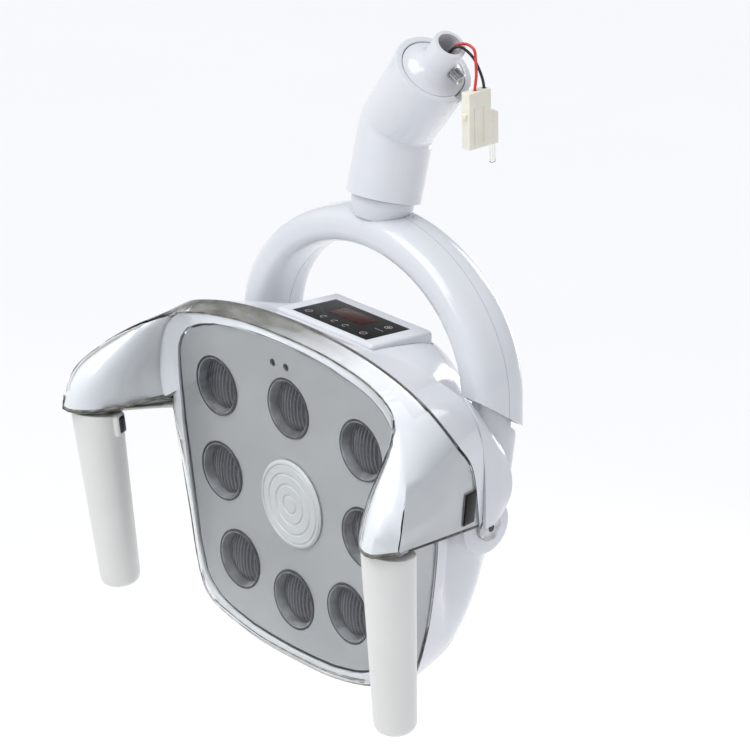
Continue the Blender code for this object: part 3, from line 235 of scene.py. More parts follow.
def painted_reflection_streaks(name):
    """The cover's top flank: clear plastic with painted dark reflection streaks that fade towards its right end."""
    mat = surface(name, (0.10, 0.095, 0.08), (0.34, 0.33, 0.30), 0.12, 0.04, 90, 600, 0.04, streak=(0.5, 1.0, 2.0))
    nodes, links = mat.node_tree.nodes, mat.node_tree.links
    coords = nodes.new("ShaderNodeTexCoord")
    split = nodes.new("ShaderNodeSeparateXYZ")
    links.new(coords.outputs["Object"], split.inputs["Vector"])
    # painted reflection: the streaks are densest at the left and fade out towards the right
    fade = nodes.new("ShaderNodeMapRange")
    fade.inputs["From Min"].default_value, fade.inputs["From Max"].default_value = -0.11, 0.02
    fade.inputs["To Min"].default_value, fade.inputs["To Max"].default_value = 0.72, 0.10
    links.new(split.outputs["X"], fade.inputs["Value"])
    links.new(fade.outputs["Result"], nodes["Principled BSDF"].inputs["Alpha"])
    return mat


FLANK_PAINTED_REFLECTION = painted_reflection_streaks("cover_flank_painted_reflection_streaks")
LENS = ribbed("lens_ribs")
SILVER = surface("face_silver", (0.36, 0.37, 0.385), (0.46, 0.47, 0.48), 0.36, 0.05, 7, 2600, 0.06, 0.35)
BADGE = surface("badge_grey", (0.56, 0.575, 0.58), (0.60, 0.61, 0.615), 0.3, 0.05, 40, 1400, 0.03)
DARK = surface("black_plastic", (0.012, 0.012, 0.014), (0.022, 0.022, 0.025), 0.3, 0.06, 80, 1600, 0.05)
# painted shade: the reflector cups are near-black for the shade in their deep hollows, seen as a dark ring at each lamp
# hole
BOWL_PAINTED_SHADE = surface("reflector", (0.006, 0.007, 0.012), (0.020, 0.022, 0.036), 0.16, 0.05, 120, 800, 0.05, 0.1)
HALO = surface("lamp_halo", (0.10, 0.105, 0.115), (0.24, 0.25, 0.27), 0.22, 0.05, 90, 900, 0.04)
STEEL = surface("bright_steel", (0.34, 0.34, 0.36), (0.60, 0.60, 0.62), 0.16, 0.06, 200, 2400, 0.05, 1.0)
ALLOY = surface("cast_alloy", (0.60, 0.61, 0.63), (0.70, 0.71, 0.72), 0.38, 0.08, 120, 1800, 0.12, 0.9)
BOARD = surface("circuit_board", (0.02, 0.12, 0.06), (0.04, 0.20, 0.10), 0.42, 0.06, 140, 1200, 0.06)
PANEL = surface("panel_glass", (0.003, 0.003, 0.003), (0.008, 0.006, 0.006), 0.16, 0.03, 60, 900, 0.01)
DISPLAY = surface("display", (0.030, 0.009, 0.007), (0.060, 0.017, 0.013), 0.18, 0.03, 120, 900, 0.01)
for low_gloss in (PANEL, DISPLAY):
    low_gloss.node_tree.nodes["Principled BSDF"].inputs["IOR"].default_value = 1.16
ICON = surface("panel_print", (0.30, 0.29, 0.29), (0.42, 0.41, 0.40), 0.4, 0.05, 120, 900, 0.01)
NYLON = surface("nylon", (0.82, 0.80, 0.68), (0.88, 0.86, 0.76), 0.38, 0.06, 90, 1300, 0.06)
NYLON.node_tree.nodes["Principled BSDF"].inputs["Subsurface Weight"].default_value = 0.25
NYLON.node_tree.nodes["Principled BSDF"].inputs["Subsurface Scale"].default_value = 0.002
LATCH = clear("milky_latch", (0.93, 0.93, 0.88), 0.2, 1.45)
RED = surface("lead_red", (0.62, 0.03, 0.02), (0.72, 0.05, 0.04), 0.32, 0.06, 200, 1500, 0.04)
BLACK = surface("lead_black", (0.010, 0.010, 0.011), (0.022, 0.022, 0.024), 0.3, 0.06, 200, 1500, 0.04)
ACETAL = surface("acetal", (0.16, 0.16, 0.17), (0.20, 0.20, 0.21), 0.35, 0.05, 90, 1300, 0.04)
FLOOR = surface("floor", (0.93, 0.932, 0.935), (0.94, 0.942, 0.945), 0.6, 0.03, 3, 400, 0.004)


# ---------------------------------------------------------------- making pieces
def mesh_from(bm, name):
    mesh = bpy.data.meshes.new(name)
    bm.to_mesh(mesh)
    bm.free()
    return mesh


def add(name, mesh, *mats):
    """Links a mesh given in the face frame's millimetres."""
    mesh.transform(Matrix.Translation(-ORIGIN * MM) @ Matrix.Scale(MM, 4))
    obj = bpy.data.objects.new(name, mesh)
    bpy.context.scene.collection.objects.link(obj)
    for mat in mats:
        mesh.materials.append(mat)
    mesh.shade_smooth()
    mesh.set_sharp_from_angle(angle=math.radians(32))
    return obj


def shaped(obj, kind, other=None, **settings):
    """Applies one modifier at once and throws its cutter away."""
    mod = obj.modifiers.new("shape", kind)
    for key, value in settings.items():
        setattr(mod, key, value)
    if other:
        mod.object = other
        mod.solver = "EXACT"
    graph = bpy.context.evaluated_depsgraph_get()
    mesh = bpy.data.meshes.new_from_object(obj.evaluated_get(graph))
    obj.modifiers.clear()
    obj.data = mesh
    mesh.shade_smooth()
    mesh.set_sharp_from_angle(angle=math.radians(32))
    if other:
        bpy.data.objects.remove(other, do_unlink=True)
    return obj


def cut(obj, cutter):
    return shaped(obj, "BOOLEAN", cutter, operation="DIFFERENCE")


def join(obj, other):
    return shaped(obj, "BOOLEAN", other, operation="UNION")


def stands(obj, body, slot, *nodes):
    """Says which body a piece rides on and hides the CAD nodes it stands for; the finish slot is not used."""
    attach(obj, body)
    if nodes:
        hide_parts(*nodes)
    return obj


def frame_along(direction, place):
    tilt = Vector(direction).to_track_quat("Z", "Y").to_matrix().to_4x4()
    return Matrix.Translation(Vector(place)) @ tilt


def turned(name, profile, mat, place, direction=(0, 0, 1), steps=72, slant=None):
    """A lathe shape: a closed loop of (radius, height), down its outer side first."""
    bm = bmesh.new()
    rings = []
    for radius, height in profile:
        if radius < 1e-6:
            rings.append([bm.verts.new((0.0, 0.0, height))])
            continue
        rings.append([bm.verts.new((radius * math.cos(2 * math.pi * i / steps),
                                    radius * math.sin(2 * math.pi * i / steps), height)) for i in range(steps)])
    for upper, lower in zip(rings, rings[1:] + rings[:1]):
        for i in range(steps):
            j = (i + 1) % steps
            corners = list(dict.fromkeys([upper[i % len(upper)], lower[i % len(lower)], lower[j % len(lower)],
                                          upper[j % len(upper)]]))
            if len(corners) > 2:
                bm.faces.new(corners)
    bmesh.ops.recalc_face_normals(bm, faces=bm.faces)
    raised = [v for v in bm.verts if slant and v.co.z > slant[0]]
    bmesh.ops.transform(bm, matrix=frame_along(direction, place), verts=bm.verts)
    for vert in raised:
        vert.co += Vector(direction).normalized() * slant[1] * (vert.co.y - place[1])
    return add(name, mesh_from(bm, name), *([mat] if mat else []))


def block(name, size, place, mat, bevel=0.0, rotation=None, segments=5):
    bm = bmesh.new()
    bmesh.ops.create_cube(bm, size=1.0)
    bmesh.ops.scale(bm, vec=size, verts=bm.verts)
    if bevel:
        bmesh.ops.bevel(bm, geom=bm.edges[:], offset=bevel, segments=segments, affect="EDGES", profile=0.5)
    if rotation:
        bmesh.ops.transform(bm, matrix=rotation, verts=bm.verts)
        bmesh.ops.recalc_face_normals(bm, faces=bm.faces)
    bmesh.ops.translate(bm, vec=place, verts=bm.verts)
    return add(name, mesh_from(bm, name), *([mat] if mat else []))


def loft(name, rings, mat, closed_path=False):
    bm = bmesh.new()
    rows = [[bm.verts.new(p) for p in ring] for ring in rings]
    pairs = list(zip(rows, rows[1:] + rows[:1])) if closed_path else list(zip(rows, rows[1:]))
    count = len(rings[0])
    for a, b in pairs:
        for i in range(count):
            j = (i + 1) % count
            bm.faces.new((a[i], a[j], b[j], b[i]))
    if not closed_path:
        bm.faces.new(rows[0])
        bm.faces.new(rows[-1])
    bmesh.ops.recalc_face_normals(bm, faces=bm.faces)
    return add(name, mesh_from(bm, name), *([mat] if mat else []))


def strip(name, path, radius, mat, flat=1.0):
    """A thin bead along a line, for an edge that catches the light."""
    rings = []
    for k, p in enumerate(path):
        ahead = (path[min(k + 1, len(path) - 1)] - path[max(k - 1, 0)]).normalized()
        side = ahead.cross(Vector((0, 1, 0))).normalized()
        up = side.cross(ahead).normalized()
        rings.append([p + side * math.cos(2 * math.pi * j / 8) * radius
                      + up * math.sin(2 * math.pi * j / 8) * radius * flat for j in range(8)])
    return loft(name, rings, mat)




def frame_object(name):
    return bpy.data.objects[name]


# ---------------------------------------------------------------- smooth outlines
def catmull(points, steps):
    """Points of a smooth curve through the given ones; steps for each span."""
    found = []
    ends = [points[0] * 2 - points[1]] + points + [points[-1] * 2 - points[-2]]
    for i in range(1, len(ends) - 2):
        p0, p1, p2, p3 = ends[i - 1], ends[i], ends[i + 1], ends[i + 2]
        for k in range(steps):
            t = k / steps
            found.append(0.5 * (2 * p1 + (p2 - p0) * t + (2 * p0 - 5 * p1 + 4 * p2 - p3) * t * t
                                + (3 * p1 - p0 - 3 * p2 + p3) * t ** 3))
    found.append(points[-1])
    return found


# Right half of each ring of the head's skin, from top centre round to bottom centre. The wing's tip
# corner and the notch where the wing meets the face's side are sharp, so a ring is made of runs:
# along the top, along the wing's top edge, down its tip, back along its lower edge, down the side.
TOP_SPANS, WING_SPANS, TIP_SPANS, SIDE_SPANS = 12, 17, 10, 22
FLIP = Vector((-1, 1, 1))


def resampled(line, spans):
    """An open line's points at equal steps along it."""
    lengths = [0.0]
    for a, b in zip(line, line[1:]):
        lengths.append(lengths[-1] + (b - a).length)
    out = [line[0]]
    for k in range(1, spans):
        want = lengths[-1] * k / spans
        i = max(j for j in range(len(line) - 1) if lengths[j] <= want)
        share = (want - lengths[i]) / (lengths[i + 1] - lengths[i])
        out.append(line[i].lerp(line[i + 1], share))
    return out + [line[-1]]


def run(keys, spans, marks, before=None, after=None):
    """A smooth run through the keys, cut at the marked keys into so many equal spans each."""
    points = [Vector(k) for k in keys]
    lead = [before] if before else []
    tail = [after] if after else []
    fine = catmull(lead + points + tail, 8)
    first = 8 * len(lead)
    out = []
    for count, (start, end) in zip(spans, marks):
        stretch = resampled(fine[first + 8 * start:first + 8 * end + 1], count)
        out += stretch[:-1]
    return out + [fine[first + 8 * marks[-1][1]]]


def mirror_ring(half):
    return half + [p * FLIP for p in half[1:-1]][::-1]


def ring_of(top, low, side):
    """A closed ring from its top run, the wing's lower run and the side run."""
    top_run = run(top, (TOP_SPANS, WING_SPANS, TIP_SPANS), ((0, 2), (2, 5), (5, 6)),
                  before=Vector(top[1]) * FLIP)
    low_run = run(low, (WING_SPANS,), ((0, len(low) - 1),))
    side_run = run(side, (SIDE_SPANS,), ((0, len(side) - 1),), after=Vector(side[-2]) * FLIP)
    return mirror_ring(top_run[:-1] + low_run[:-1] + side_run)




# edge of the flat front sheet
SHEET_TOP = [(0, SHEET_Y, 110), (47, SHEET_Y, 107.5), (84, SHEET_Y, 100), (97, SHEET_Y, 93.5),
             (105.5, SHEET_Y, 84), (109.5, SHEET_Y, 70), (110.5, SHEET_Y, 57), (107, SHEET_Y, 45)]
SHEET_SIDE = [(107, SHEET_Y, 45), (105.5, SHEET_Y, 10), (97.5, SHEET_Y, -36), (93, SHEET_Y, -63),
              (86.5, SHEET_Y, -83.5), (75, SHEET_Y, -93), (40, SHEET_Y, -101), (0, SHEET_Y, -102.5)]
# front rim of the cover
RIM_TOP = [(0, -5, 113.5), (47, -5, 111.5), (90, -7.5, 104.5), (122, -18, 92.5), (148, -35, 73.5),
           (160.5, -49, 55), (162, -54, 38)]
RIM_LOW = [(162, -54, 38), (148, -66.5, 36.5), (127, -52, 37.5), (113.5, -7, 39)]
RIM_SIDE = [(113.5, -7, 39), (110, -5.5, 10), (100.3, -5.5, -36), (96, -5.5, -63), (89.5, -5.5, -86.5),
            (78, -5.5, -96), (40, -5.5, -104.5), (0, -5.5, -106)]
# rear edge of the cover
EDGE_TOP = [(0, 8, 119), (50, 8, 116), (90, 8, 108.5), (117, 9, 98), (134, 17, 77), (129, 34, 53),
            (125, 42, 13)]
EDGE_LOW = [(125, 42, 13), (118, 40, 19), (110, 36.5, 25), (101, 31, 29)]
EDGE_SIDE = [(101, 31, 29), (100, 30, -10), (97, 28, -44), (95.5, 25, -64), (92, 19, -89),
             (82, 18, -99), (42, 16, -107), (0, 16, -108.5)]
# housing rings, front to back
BODY_1 = ([(0, 28, 109), (47, 29, 108), (84, 36, 102), (108, 45, 90), (120.5, 47.5, 70), (123, 48, 50),
           (121, 48, 13)],
          [(121, 48, 13), (114, 47.8, 17.4), (106, 47.5, 21.4), (97.5, 47, 25)],
          [(97.5, 47, 25), (97, 41.5, 6), (97, 41, -10), (94, 40, -42), (92, 39, -62), (88, 38, -87), (78, 38, -97),
           (42, 38, -106), (0, 38, -108)])
BODY_2 = ([(0, 47, 107), (45, 47, 106), (80, 46, 99), (84, 46.5, 88), (86, 47, 72), (87, 47.8, 54),
           (87, 48.6, 36)],
          [(87, 48.6, 36), (87, 48.6, 34), (87, 48.5, 31.5), (87, 48.4, 29)],
          [(87, 48.4, 29), (87, 43.3, 8), (87, 43.3, -12), (87.5, 50, -42), (87, 54, -60), (83.5, 55, -83), (74, 56, -93),
           (41, 56, -102), (0, 56, -104)])
BODY_3 = ([(0, 78, 103), (40, 78, 100), (63, 78, 88), (71, 78, 74), (76, 78, 60), (79, 78, 48),
           (82, 78, 33)],
          [(82, 78, 33), (82.1, 78, 31.4), (82.2, 78, 29.7), (82.4, 78, 28)],
          [(82.4, 78, 28), (84.8, 78, -14), (84.5, 77, -38), (82, 76, -57), (76, 73, -76), (65, 72, -86),
           (36, 71, -93), (0, 71, -95)])
BODY_4 = ([(0, 94, 86), (35, 94, 83), (55, 94, 72), (63, 95, 60), (68, 96, 50), (70, 97, 42),
           (72, 97, 31)],
          [(72, 97, 31), (72.1, 97, 29.5), (72.2, 97, 28), (72.4, 97, 26.5)],
          [(72.4, 97, 26.5), (75, 97, -14), (74, 95, -35), (70, 92, -51), (63, 88, -65), (53, 86, -73),
           (29, 84, -79), (0, 84, -81)])


def shrunk(ring, factor, y, centre_z=6.0):
    return [Vector((p.x * factor, y, centre_z + (p.z - centre_z) * factor)) for p in ring]


def between(ring_a, ring_b, share):
    return [a.lerp(b, share) for a, b in zip(ring_a, ring_b)]


def rows_to_faces(bm, rows, closed=True):
    count = len(rows[0])
    for a, b in zip(rows, rows[1:]):
        for i in range(count if closed else count - 1):
            j = (i + 1) % count
            bm.faces.new((a[i], a[j], b[j], b[i]))


def turn_outward(bm, probe, direction):
    """Makes all faces agree and look out, as told by one vertex whose normal should follow direction."""
    bmesh.ops.recalc_face_normals(bm, faces=bm.faces)
    bm.normal_update()
    if probe.normal.dot(Vector(direction)) < 0:
        bmesh.ops.reverse_faces(bm, faces=bm.faces)
        bm.normal_update()


def wall_lines(bm, notch):
    """For each corner of a skin, the direction in which its wall is built and how much room it has.

    The directions are evened-out normals. Where neighbours close in on each other the room shrinks,
    so the wall never folds. The notch gives corners whose direction is given.
    """
    lines = {v: v.normal.copy() for v in bm.verts}
    for _ in range(EVEN_ROUNDS):
        blend = {}
        for vert, line in lines.items():
            total = line * 2
            for edge in vert.link_edges:
                total = total + lines[edge.other_vert(vert)]
            blend[vert] = total.normalized()
        lines = blend
    for vert, line in lines.items():
        if vert.is_boundary:
            lines[vert] = Vector((line.x, 0, line.z)).normalized()
    for vert, direction in notch:
        lines[vert] = Vector(direction)
    room = {}
    for vert, line in lines.items():
        deepest = DEEPEST
        near = {v for face in vert.link_faces for v in face.verts}
        near = {v for middle in near for face in middle.link_faces for v in face.verts}
        for other in near:
            apart = other.co - vert.co
            closing = apart.dot(lines[other] - line)
            if closing > 1e-6:
                deepest = min(deepest, ROOM_SHARE * apart.length_squared / closing)
        room[vert] = deepest / DEEPEST
    for _ in range(2):
        room = {v: min([r] + [room[e.other_vert(v)] + ROOM_STEP for e in v.link_edges])
                for v, r in room.items()}
    return lines, room


def thickened(bm, lines, room, outer, inner):
    """Turns an open skin into a wall between two depths below it."""
    edges = [(e.verts[0], e.verts[1]) for e in bm.edges if e.is_boundary]
    faces = list(bm.faces)
    deep = {}
    for vert, line in lines.items():
        place = vert.co.copy()
        vert.co = place - line * outer * room[vert]
        deep[vert] = bm.verts.new(place - line * inner * room[vert])
    for face in faces:
        bm.faces.new([deep[v] for v in reversed(face.verts)])
    for a, b in edges:
        bm.faces.new((a, b, deep[b], deep[a]))
    bmesh.ops.recalc_face_normals(bm, faces=bm.faces)


def side_name(stem, side):
    return f"{stem}_{'right' if side > 0 else 'left'}"


def mirrored(vec, side):
    return Vector((vec[0] * side, vec[1], vec[2]))


rim = ring_of(RIM_TOP, RIM_LOW, RIM_SIDE)
rear_edge = ring_of(EDGE_TOP, EDGE_LOW, EDGE_SIDE)
WING_START = TOP_SPANS
WING_CORNER = TOP_SPANS + WING_SPANS
LOW_START = WING_CORNER + TIP_SPANS
LOW_END = LOW_START + WING_SPANS
sheet_half = (run(SHEET_TOP, (TOP_SPANS, TIP_SPANS), ((0, 2), (2, 7)), before=Vector(SHEET_TOP[1]) * FLIP)[:-1]
              + run(SHEET_SIDE, (SIDE_SPANS,), ((0, 7),), after=Vector(SHEET_SIDE[-2]) * FLIP))
sheet_edge = mirror_ring(sheet_half)


def wing_grid():
    """Interior points of the wing's front: each column rises from the lower rim and rounds over to the top rim."""
    side = sheet_half[TOP_SPANS:TOP_SPANS + TIP_SPANS + 1][::-1]
    top = [side[-1]] + rim[WING_START + 1:WING_CORNER + 1]
    low = [side[0]] + rim[LOW_START:LOW_END][::-1]
    tip = rim[WING_CORNER:LOW_START + 1][::-1]

    def profile(i, v):
        a, b = low[i], top[i]
        over, up = 1 - math.cos(v * math.pi / 2), math.sin(v * math.pi / 2)
        return Vector((a.x + (b.x - a.x) * over, a.y + (b.y - a.y) * over, a.z + (b.z - a.z) * up))

    columns = []
    for i in range(WING_SPANS + 1):
        u = i / WING_SPANS
        column = []
        for k in range(TIP_SPANS + 1):
            v = k / TIP_SPANS
            point = profile(i, v)
            point += (side[k] - profile(0, v)) * (1 - u) ** 3
            point += (tip[k] - profile(WING_SPANS, v)) * u ** 3
            column.append(point)
        columns.append(column)
    return columns


WING_COLUMNS = wing_grid()


def head_skin(name, outer, inner, inner_edge=None):
    """A wall under the cover's outer surface; an inner edge given leaves the sheet out and adds a band."""
    bm = bmesh.new()
    edge_row = [bm.verts.new(p) for p in sheet_edge]
    rim_row = [bm.verts.new(p) for p in rim]
    rows = [rim_row]
    for share in (0.5, 1.0):
        rows.append([bm.verts.new(p) for p in between(rim, rear_edge, share)])
    rows_to_faces(bm, rows)
    edge_count, rim_count = len(edge_row), len(rim_row)
    for half in (1, -1):
        def pick(row, i, count, half=half):
            return row[(half * i) % count]
        for i in range(TOP_SPANS):
            bm.faces.new((pick(edge_row, i, edge_count), pick(edge_row, i + 1, edge_count),
                          pick(rim_row, i + 1, rim_count), pick(rim_row, i, rim_count)))
        for i in range(SIDE_SPANS):
            e = TOP_SPANS + TIP_SPANS + i
            bm.faces.new((pick(edge_row, e, edge_count), pick(edge_row, e + 1, edge_count),
                          pick(rim_row, LOW_END + i + 1, rim_count), pick(rim_row, LOW_END + i, rim_count)))
        grid = []
        for i, column in enumerate(WING_COLUMNS):
            line = []
            for k, point in enumerate(column):
                if i == 0:
                    line.append(pick(edge_row, TOP_SPANS + TIP_SPANS - k, edge_count))
                elif k == 0:
                    line.append(pick(rim_row, LOW_END - i, rim_count))
                elif k == TIP_SPANS:
                    line.append(pick(rim_row, WING_START + i, rim_count))
                elif i == WING_SPANS:
                    line.append(pick(rim_row, LOW_START - k, rim_count))
                else:
                    line.append(bm.verts.new(mirrored(point, half)))
            grid.append(line)
        rows_to_faces(bm, grid, closed=False)
        bm.faces.new((pick(edge_row, TOP_SPANS, edge_count), pick(rim_row, WING_START, rim_count),
                      pick(rim_row, WING_START + 1, rim_count)))
        bm.faces.new((pick(edge_row, TOP_SPANS + TIP_SPANS, edge_count), pick(rim_row, LOW_END, rim_count),
                      pick(rim_row, LOW_END - 1, rim_count)))
    bmesh.ops.triangulate(bm, faces=bm.faces[:], quad_method="SHORT_EDGE")
    hub = Vector((0, SHEET_Y, 5))
    sheet_rows = [edge_row] + [[bm.verts.new(p.lerp(hub, share)) for p in sheet_edge]
                               for share in (0.04, 0.1, 0.2, 0.35, 0.55, 0.75)]
    before = set(bm.faces)
    rows_to_faces(bm, sheet_rows)
    bm.faces.new(sheet_rows[-1])
    sheet = [face for face in bm.faces if face not in before]
    turn_outward(bm, rows[1][0], (0, 0, 1))
    notch = []
    for half in (1, -1):
        notch.append((rim_row[half * LOW_END], (half * 0.7, -0.9, -0.7)))
        notch += [(row[half * LOW_END], (half, 0, -0.9)) for row in rows[1:]]
    lines, room = wall_lines(bm, notch)
    if inner_edge:
        bmesh.ops.delete(bm, geom=sheet, context="FACES_ONLY")
        loose = [v for v in bm.verts if not v.link_faces]
        for vert in loose:
            lines.pop(vert)
            bm.verts.remove(vert)
        band = [bm.verts.new(p) for p in inner_edge]
        rows_to_faces(bm, [band, edge_row])
        for vert in band:
            lines[vert] = Vector((0, -BAND_SINK, 0))
            room[vert] = 1.0
        for vert in edge_row:
            aside = Vector((lines[vert].x, 0, lines[vert].z)).normalized()
            lines[vert] = aside * 0.3 + Vector((0, -BAND_SINK, 0))
            room[vert] = 1.0
        bmesh.ops.recalc_face_normals(bm, faces=bm.faces)
    thickened(bm, lines, room, outer, inner)
    return mesh_from(bm, name)


# outline of the face plate: the sheet's edge pulled in on all sides
PLATE_OUTLINE = [(0, 107.5), (22, 107.2), (47, 104.8), (64, 101.8), (80, 97.8), (93, 92), (101, 84),
                 (104.5, 75), (104.8, 60), (103, 26), (97.6, -14.6), (91.8, -55), (85.8, -75),
                 (80.2, -82.2), (72.5, -88), (61, -92.2), (40, -96.5), (20, -98), (0, -98.5)]


def plate_ring(inset, y):
    """The plate's outline moved in by the inset, at one depth."""
    half = [Vector((x, 0, z)) for x, z in PLATE_OUTLINE]
    loop = mirror_ring(half)
    out = []
    count = len(loop)
    for i, p in enumerate(loop):
        along = (loop[(i + 1) % count] - loop[i - 1]).normalized()
        normal = Vector((along.z, 0, -along.x))
        if normal.dot(p - Vector((0, 0, 5))) > 0:
            normal = -normal
        q = p + normal * inset
        out.append(Vector((q.x, y, q.z)))
    return out


def nearest_on(loop, ring):
    """For each point of the ring, the nearest point of the loop, so that the two pair up."""
    out = []
    for p in ring:
        best = None
        for a, b in zip(loop, loop[1:] + loop[:1]):
            share = max(0.0, min(1.0, (p - a).dot(b - a) / (b - a).length_squared))
            q = a.lerp(b, share)
            gap = (Vector((p.x, 0, p.z)) - Vector((q.x, 0, q.z))).length
            if best is None or gap < best[0]:
                best = (gap, q)
        out.append(best[1])
    return ou# outline of the face plate: the sheet's edge pulled in on all sides
PLATE_OUTLINE = [(0, 107.5), (22, 107.2), (47, 104.8), (64, 101.8), (80, 97.8), (93, 92), (101, 84),
                 (104.5, 75), (104.8, 60), (103, 26), (97.6, -14.6), (91.8, -55), (85.8, -75),
                 (80.2, -82.2), (72.5, -88), (61, -92.2), (40, -96.5), (20, -98), (0, -98.5)]


def plate_ring(inset, y):
    """The plate's outline moved in by the inset, at one depth."""
    half = [Vector((x, 0, z)) for x, z in PLATE_OUTLINE]
    loop = mirror_ring(half)
    out = []
    count = len(loop)
    for i, p in enumerate(loop):
        along = (loop[(i + 1) % count] - loop[i - 1]).normalized()
        normal = Vector((along.z, 0, -along.x))
        if normal.dot(p - Vector((0, 0, 5))) > 0:
            normal = -normal
        q = p + normal * inset
        out.append(Vector((q.x, y, q.z)))
    return out


def nearest_on(loop, ring):
    """For each point of the ring, the nearest point of the loop, so that the two pair up."""
    out = []
    for p in ring:
        best = None
        for a, b in zip(loop, loop[1:] + loop[:1]):
            share = max(0.0, min(1.0, (p - a).dot(b - a) / (b - a).length_squared))
            q = a.lerp(b, share)
            gap = (Vector((p.x, 0, p.z)) - Vector((q.x, 0, q.z))).length
            if best is None or gap < best[0]:
                best = (gap, q)
        out.append(best[1])
    return out

# ---------------------------------------------------------------- leads, end to end as the photograph shows them
RED_ROUTE = [(46.4, 93.4, 281.4), (50.6, 95.6, 286.6), (55.2, 98.8, 287.4), (60.8, 99.6, 285.0),
             (63.6, 98.2, 279.8), (66.2, 96.3, 271.9), (66.3, 95.6, 267.0), (66, 95.2, 262.3), (66, 95.2, 257)]
BLACK_ROUTE = [(47.0, 90.0, 280.6), (51.6, 91.6, 285.6), (54.9, 93.3, 286.9), (58.4, 95.9, 284.6),
               (61.0, 99.0, 279.9), (63.4, 100.5, 274.4), (65.3, 101.9, 268.0), (66, 102.6, 262.3),
               (66, 102.6, 257)]
CONNECTOR_X, CONNECTOR_Z = 66.0, 244.2


def lead(name, node, route, mat, end):
    points = resampled(catmull([Vector(p) for p in route], 12), 36)
    curve = bpy.data.curves.new(name, "CURVE")
    curve.dimensions = "3D"
    curve.bevel_depth = LEAD_R * MM
    curve.bevel_resolution = 6
    curve.use_fill_caps = True
    spline = curve.splines.new("POLY")
    spline.points.add(len(points) - 1)
    for point, place in zip(spline.points, points):
        point.co = (*at(place), 1.0)
    curve.materials.append(mat)
    obj = bpy.data.objects.new(name, curve)
    bpy.context.scene.collection.objects.link(obj)
    stands(obj, "arm_spigot", node, node)


body = block("connector_body", (7, 18, 35.4), (CONNECTOR_X, 96.4, CONNECTOR_Z), NYLON, bevel=0.7)
join(body, block("connector_rail", (5.6, 7, 20), (CONNECTOR_X, 108.2, 236.2), None, bevel=0.5))
join(body, block("connector_lug", (3.4, 2.4, 3), (CONNECTOR_X, 87.0, 247.5), None, bevel=0.3))
for number, y in enumerate((95.2, 102.6), 1):
    cut(body, turned(f"lead_hole_{number}", [(0, 8), (1.3, 8), (1.3, -5.6), (0, -5.6)], None,
                     (CONNECTOR_X, y, 261.9), steps=24))
for side in (-1, 1):
    for y in (91.6, 98.9):
        cut(body, block("connector_groove", (0.8, 0.9, 22), (CONNECTOR_X + side * 3.5, y, 241), None))
cut(body, block("latch_slot", (2.6, 4.6, 8), (CONNECTOR_X + 0.4, 108.6, 227.4), None))
stands(body, "arm_spigot", "nylon", "connector")
lead("red_lead", "lead_red", RED_ROUTE, RED, body)
lead("black_lead", "lead_black", BLACK_ROUTE, BLACK, frame_object("connector_latch"))

# ---------------------------------------------------------------- clear cover and bezel
def hole_through(obj, side):
    cutter = turned("socket_hole", [(0, 9), (SOCKET_HOLE_R, 9), (SOCKET_HOLE_R, -24), (0, -24)], None,
                    mirrored(HANDLE_TOP, side), mirrored(HANDLE_DIR, side), steps=48)
    cut(obj, cutter)


WINDOW = (14.0, 19.0)
tip = range(WING_CORNER, LOW_START)
row = min(tip, key=lambda i: abs(rear_edge[i].z - 30))
along = (rim[row] - rear_edge[row]).normalized()
up = (rear_edge[row - 1] - rear_edge[row + 1]).normalized()
out = along.cross(up).normalized()
if out.x < 0:
    out = -out
up = out.cross(along).normalized()


def window_turn(side):
    flat = Matrix([[along[k], up[k], out[k]] for k in range(3)]).to_4x4()
    return Matrix.Diagonal((-1, 1, 1, 1)) @ flat if side < 0 else flat


def window_place(side):
    return mirrored(rear_edge[row] + along * (WINDOW[0] / 2 + 2.6) - out * 0.9, side)


cover = add("cover_skin", head_skin("cover_skin", 0.0, COVER_WALL), COVER, PAINTED_EDGE_REFLECTION, FLANK_PAINTED_REFLECTION)
band_inner = nearest_on(plate_ring(-1.2, SHEET_Y), sheet_edge)
inner = add("bezel_skin", head_skin("bezel_skin", BEZEL_INSET, BEZEL_INSET + BEZEL_WALL, band_inner), GLOSS)
for side in (-1, 1):
    for skin in (cover, inner):
        hole_through(skin, side)
        cut(skin, block("window_opening", (WINDOW[0] + 1.0, WINDOW[1] + 1.0, 12.0), window_place(side), None,
                        rotation=window_turn(side)))
stands(cover, "head", "clear_cover", "front_cover")


def painted_reflection_bead(name, first, last):
    """A painted dark reflection line along the clear cover's front rim, thicker under the wings, between two ring
    places.
    """
    rings = []
    for i in range(first, last + 1):
        p = rim[i]
        half = abs(i)
        over_wing = WING_START < half < LOW_END
        hub = Vector((math.copysign(135, p.x), -35, 60)) if over_wing else Vector((0, SHEET_Y, 5))
        inside = ((rear_edge[i] - p).normalized() + (hub - p).normalized()).normalized()
        thick = 1.45 if LOW_START <= half < LOW_END else 0.55
        ahead = (rim[(i + 1) % len(rim)] - rim[i - 1]).normalized()
        side = ahead.cross(inside).normalized()
        middle = p + inside * (thick + 0.4)
        rings.append([middle + inside * math.cos(2 * math.pi * j / 8) * thick
                      + side * math.sin(2 * math.pi * j / 8) * thick for j in range(8)])
    return stands(loft(name, rings, PAINTED_EDGE_REFLECTION), "head", "clear_cover")


BOTTOM = LOW_END + SIDE_SPANS
painted_reflection_bead("cover_painted_reflection_line_top", -WING_START - 2, WING_START + 2)
painted_reflection_bead("cover_painted_reflection_line_right", LOW_START, BOTTOM)
painted_reflection_bead("cover_painted_reflection_line_left", -BOTTOM, -LOW_START)
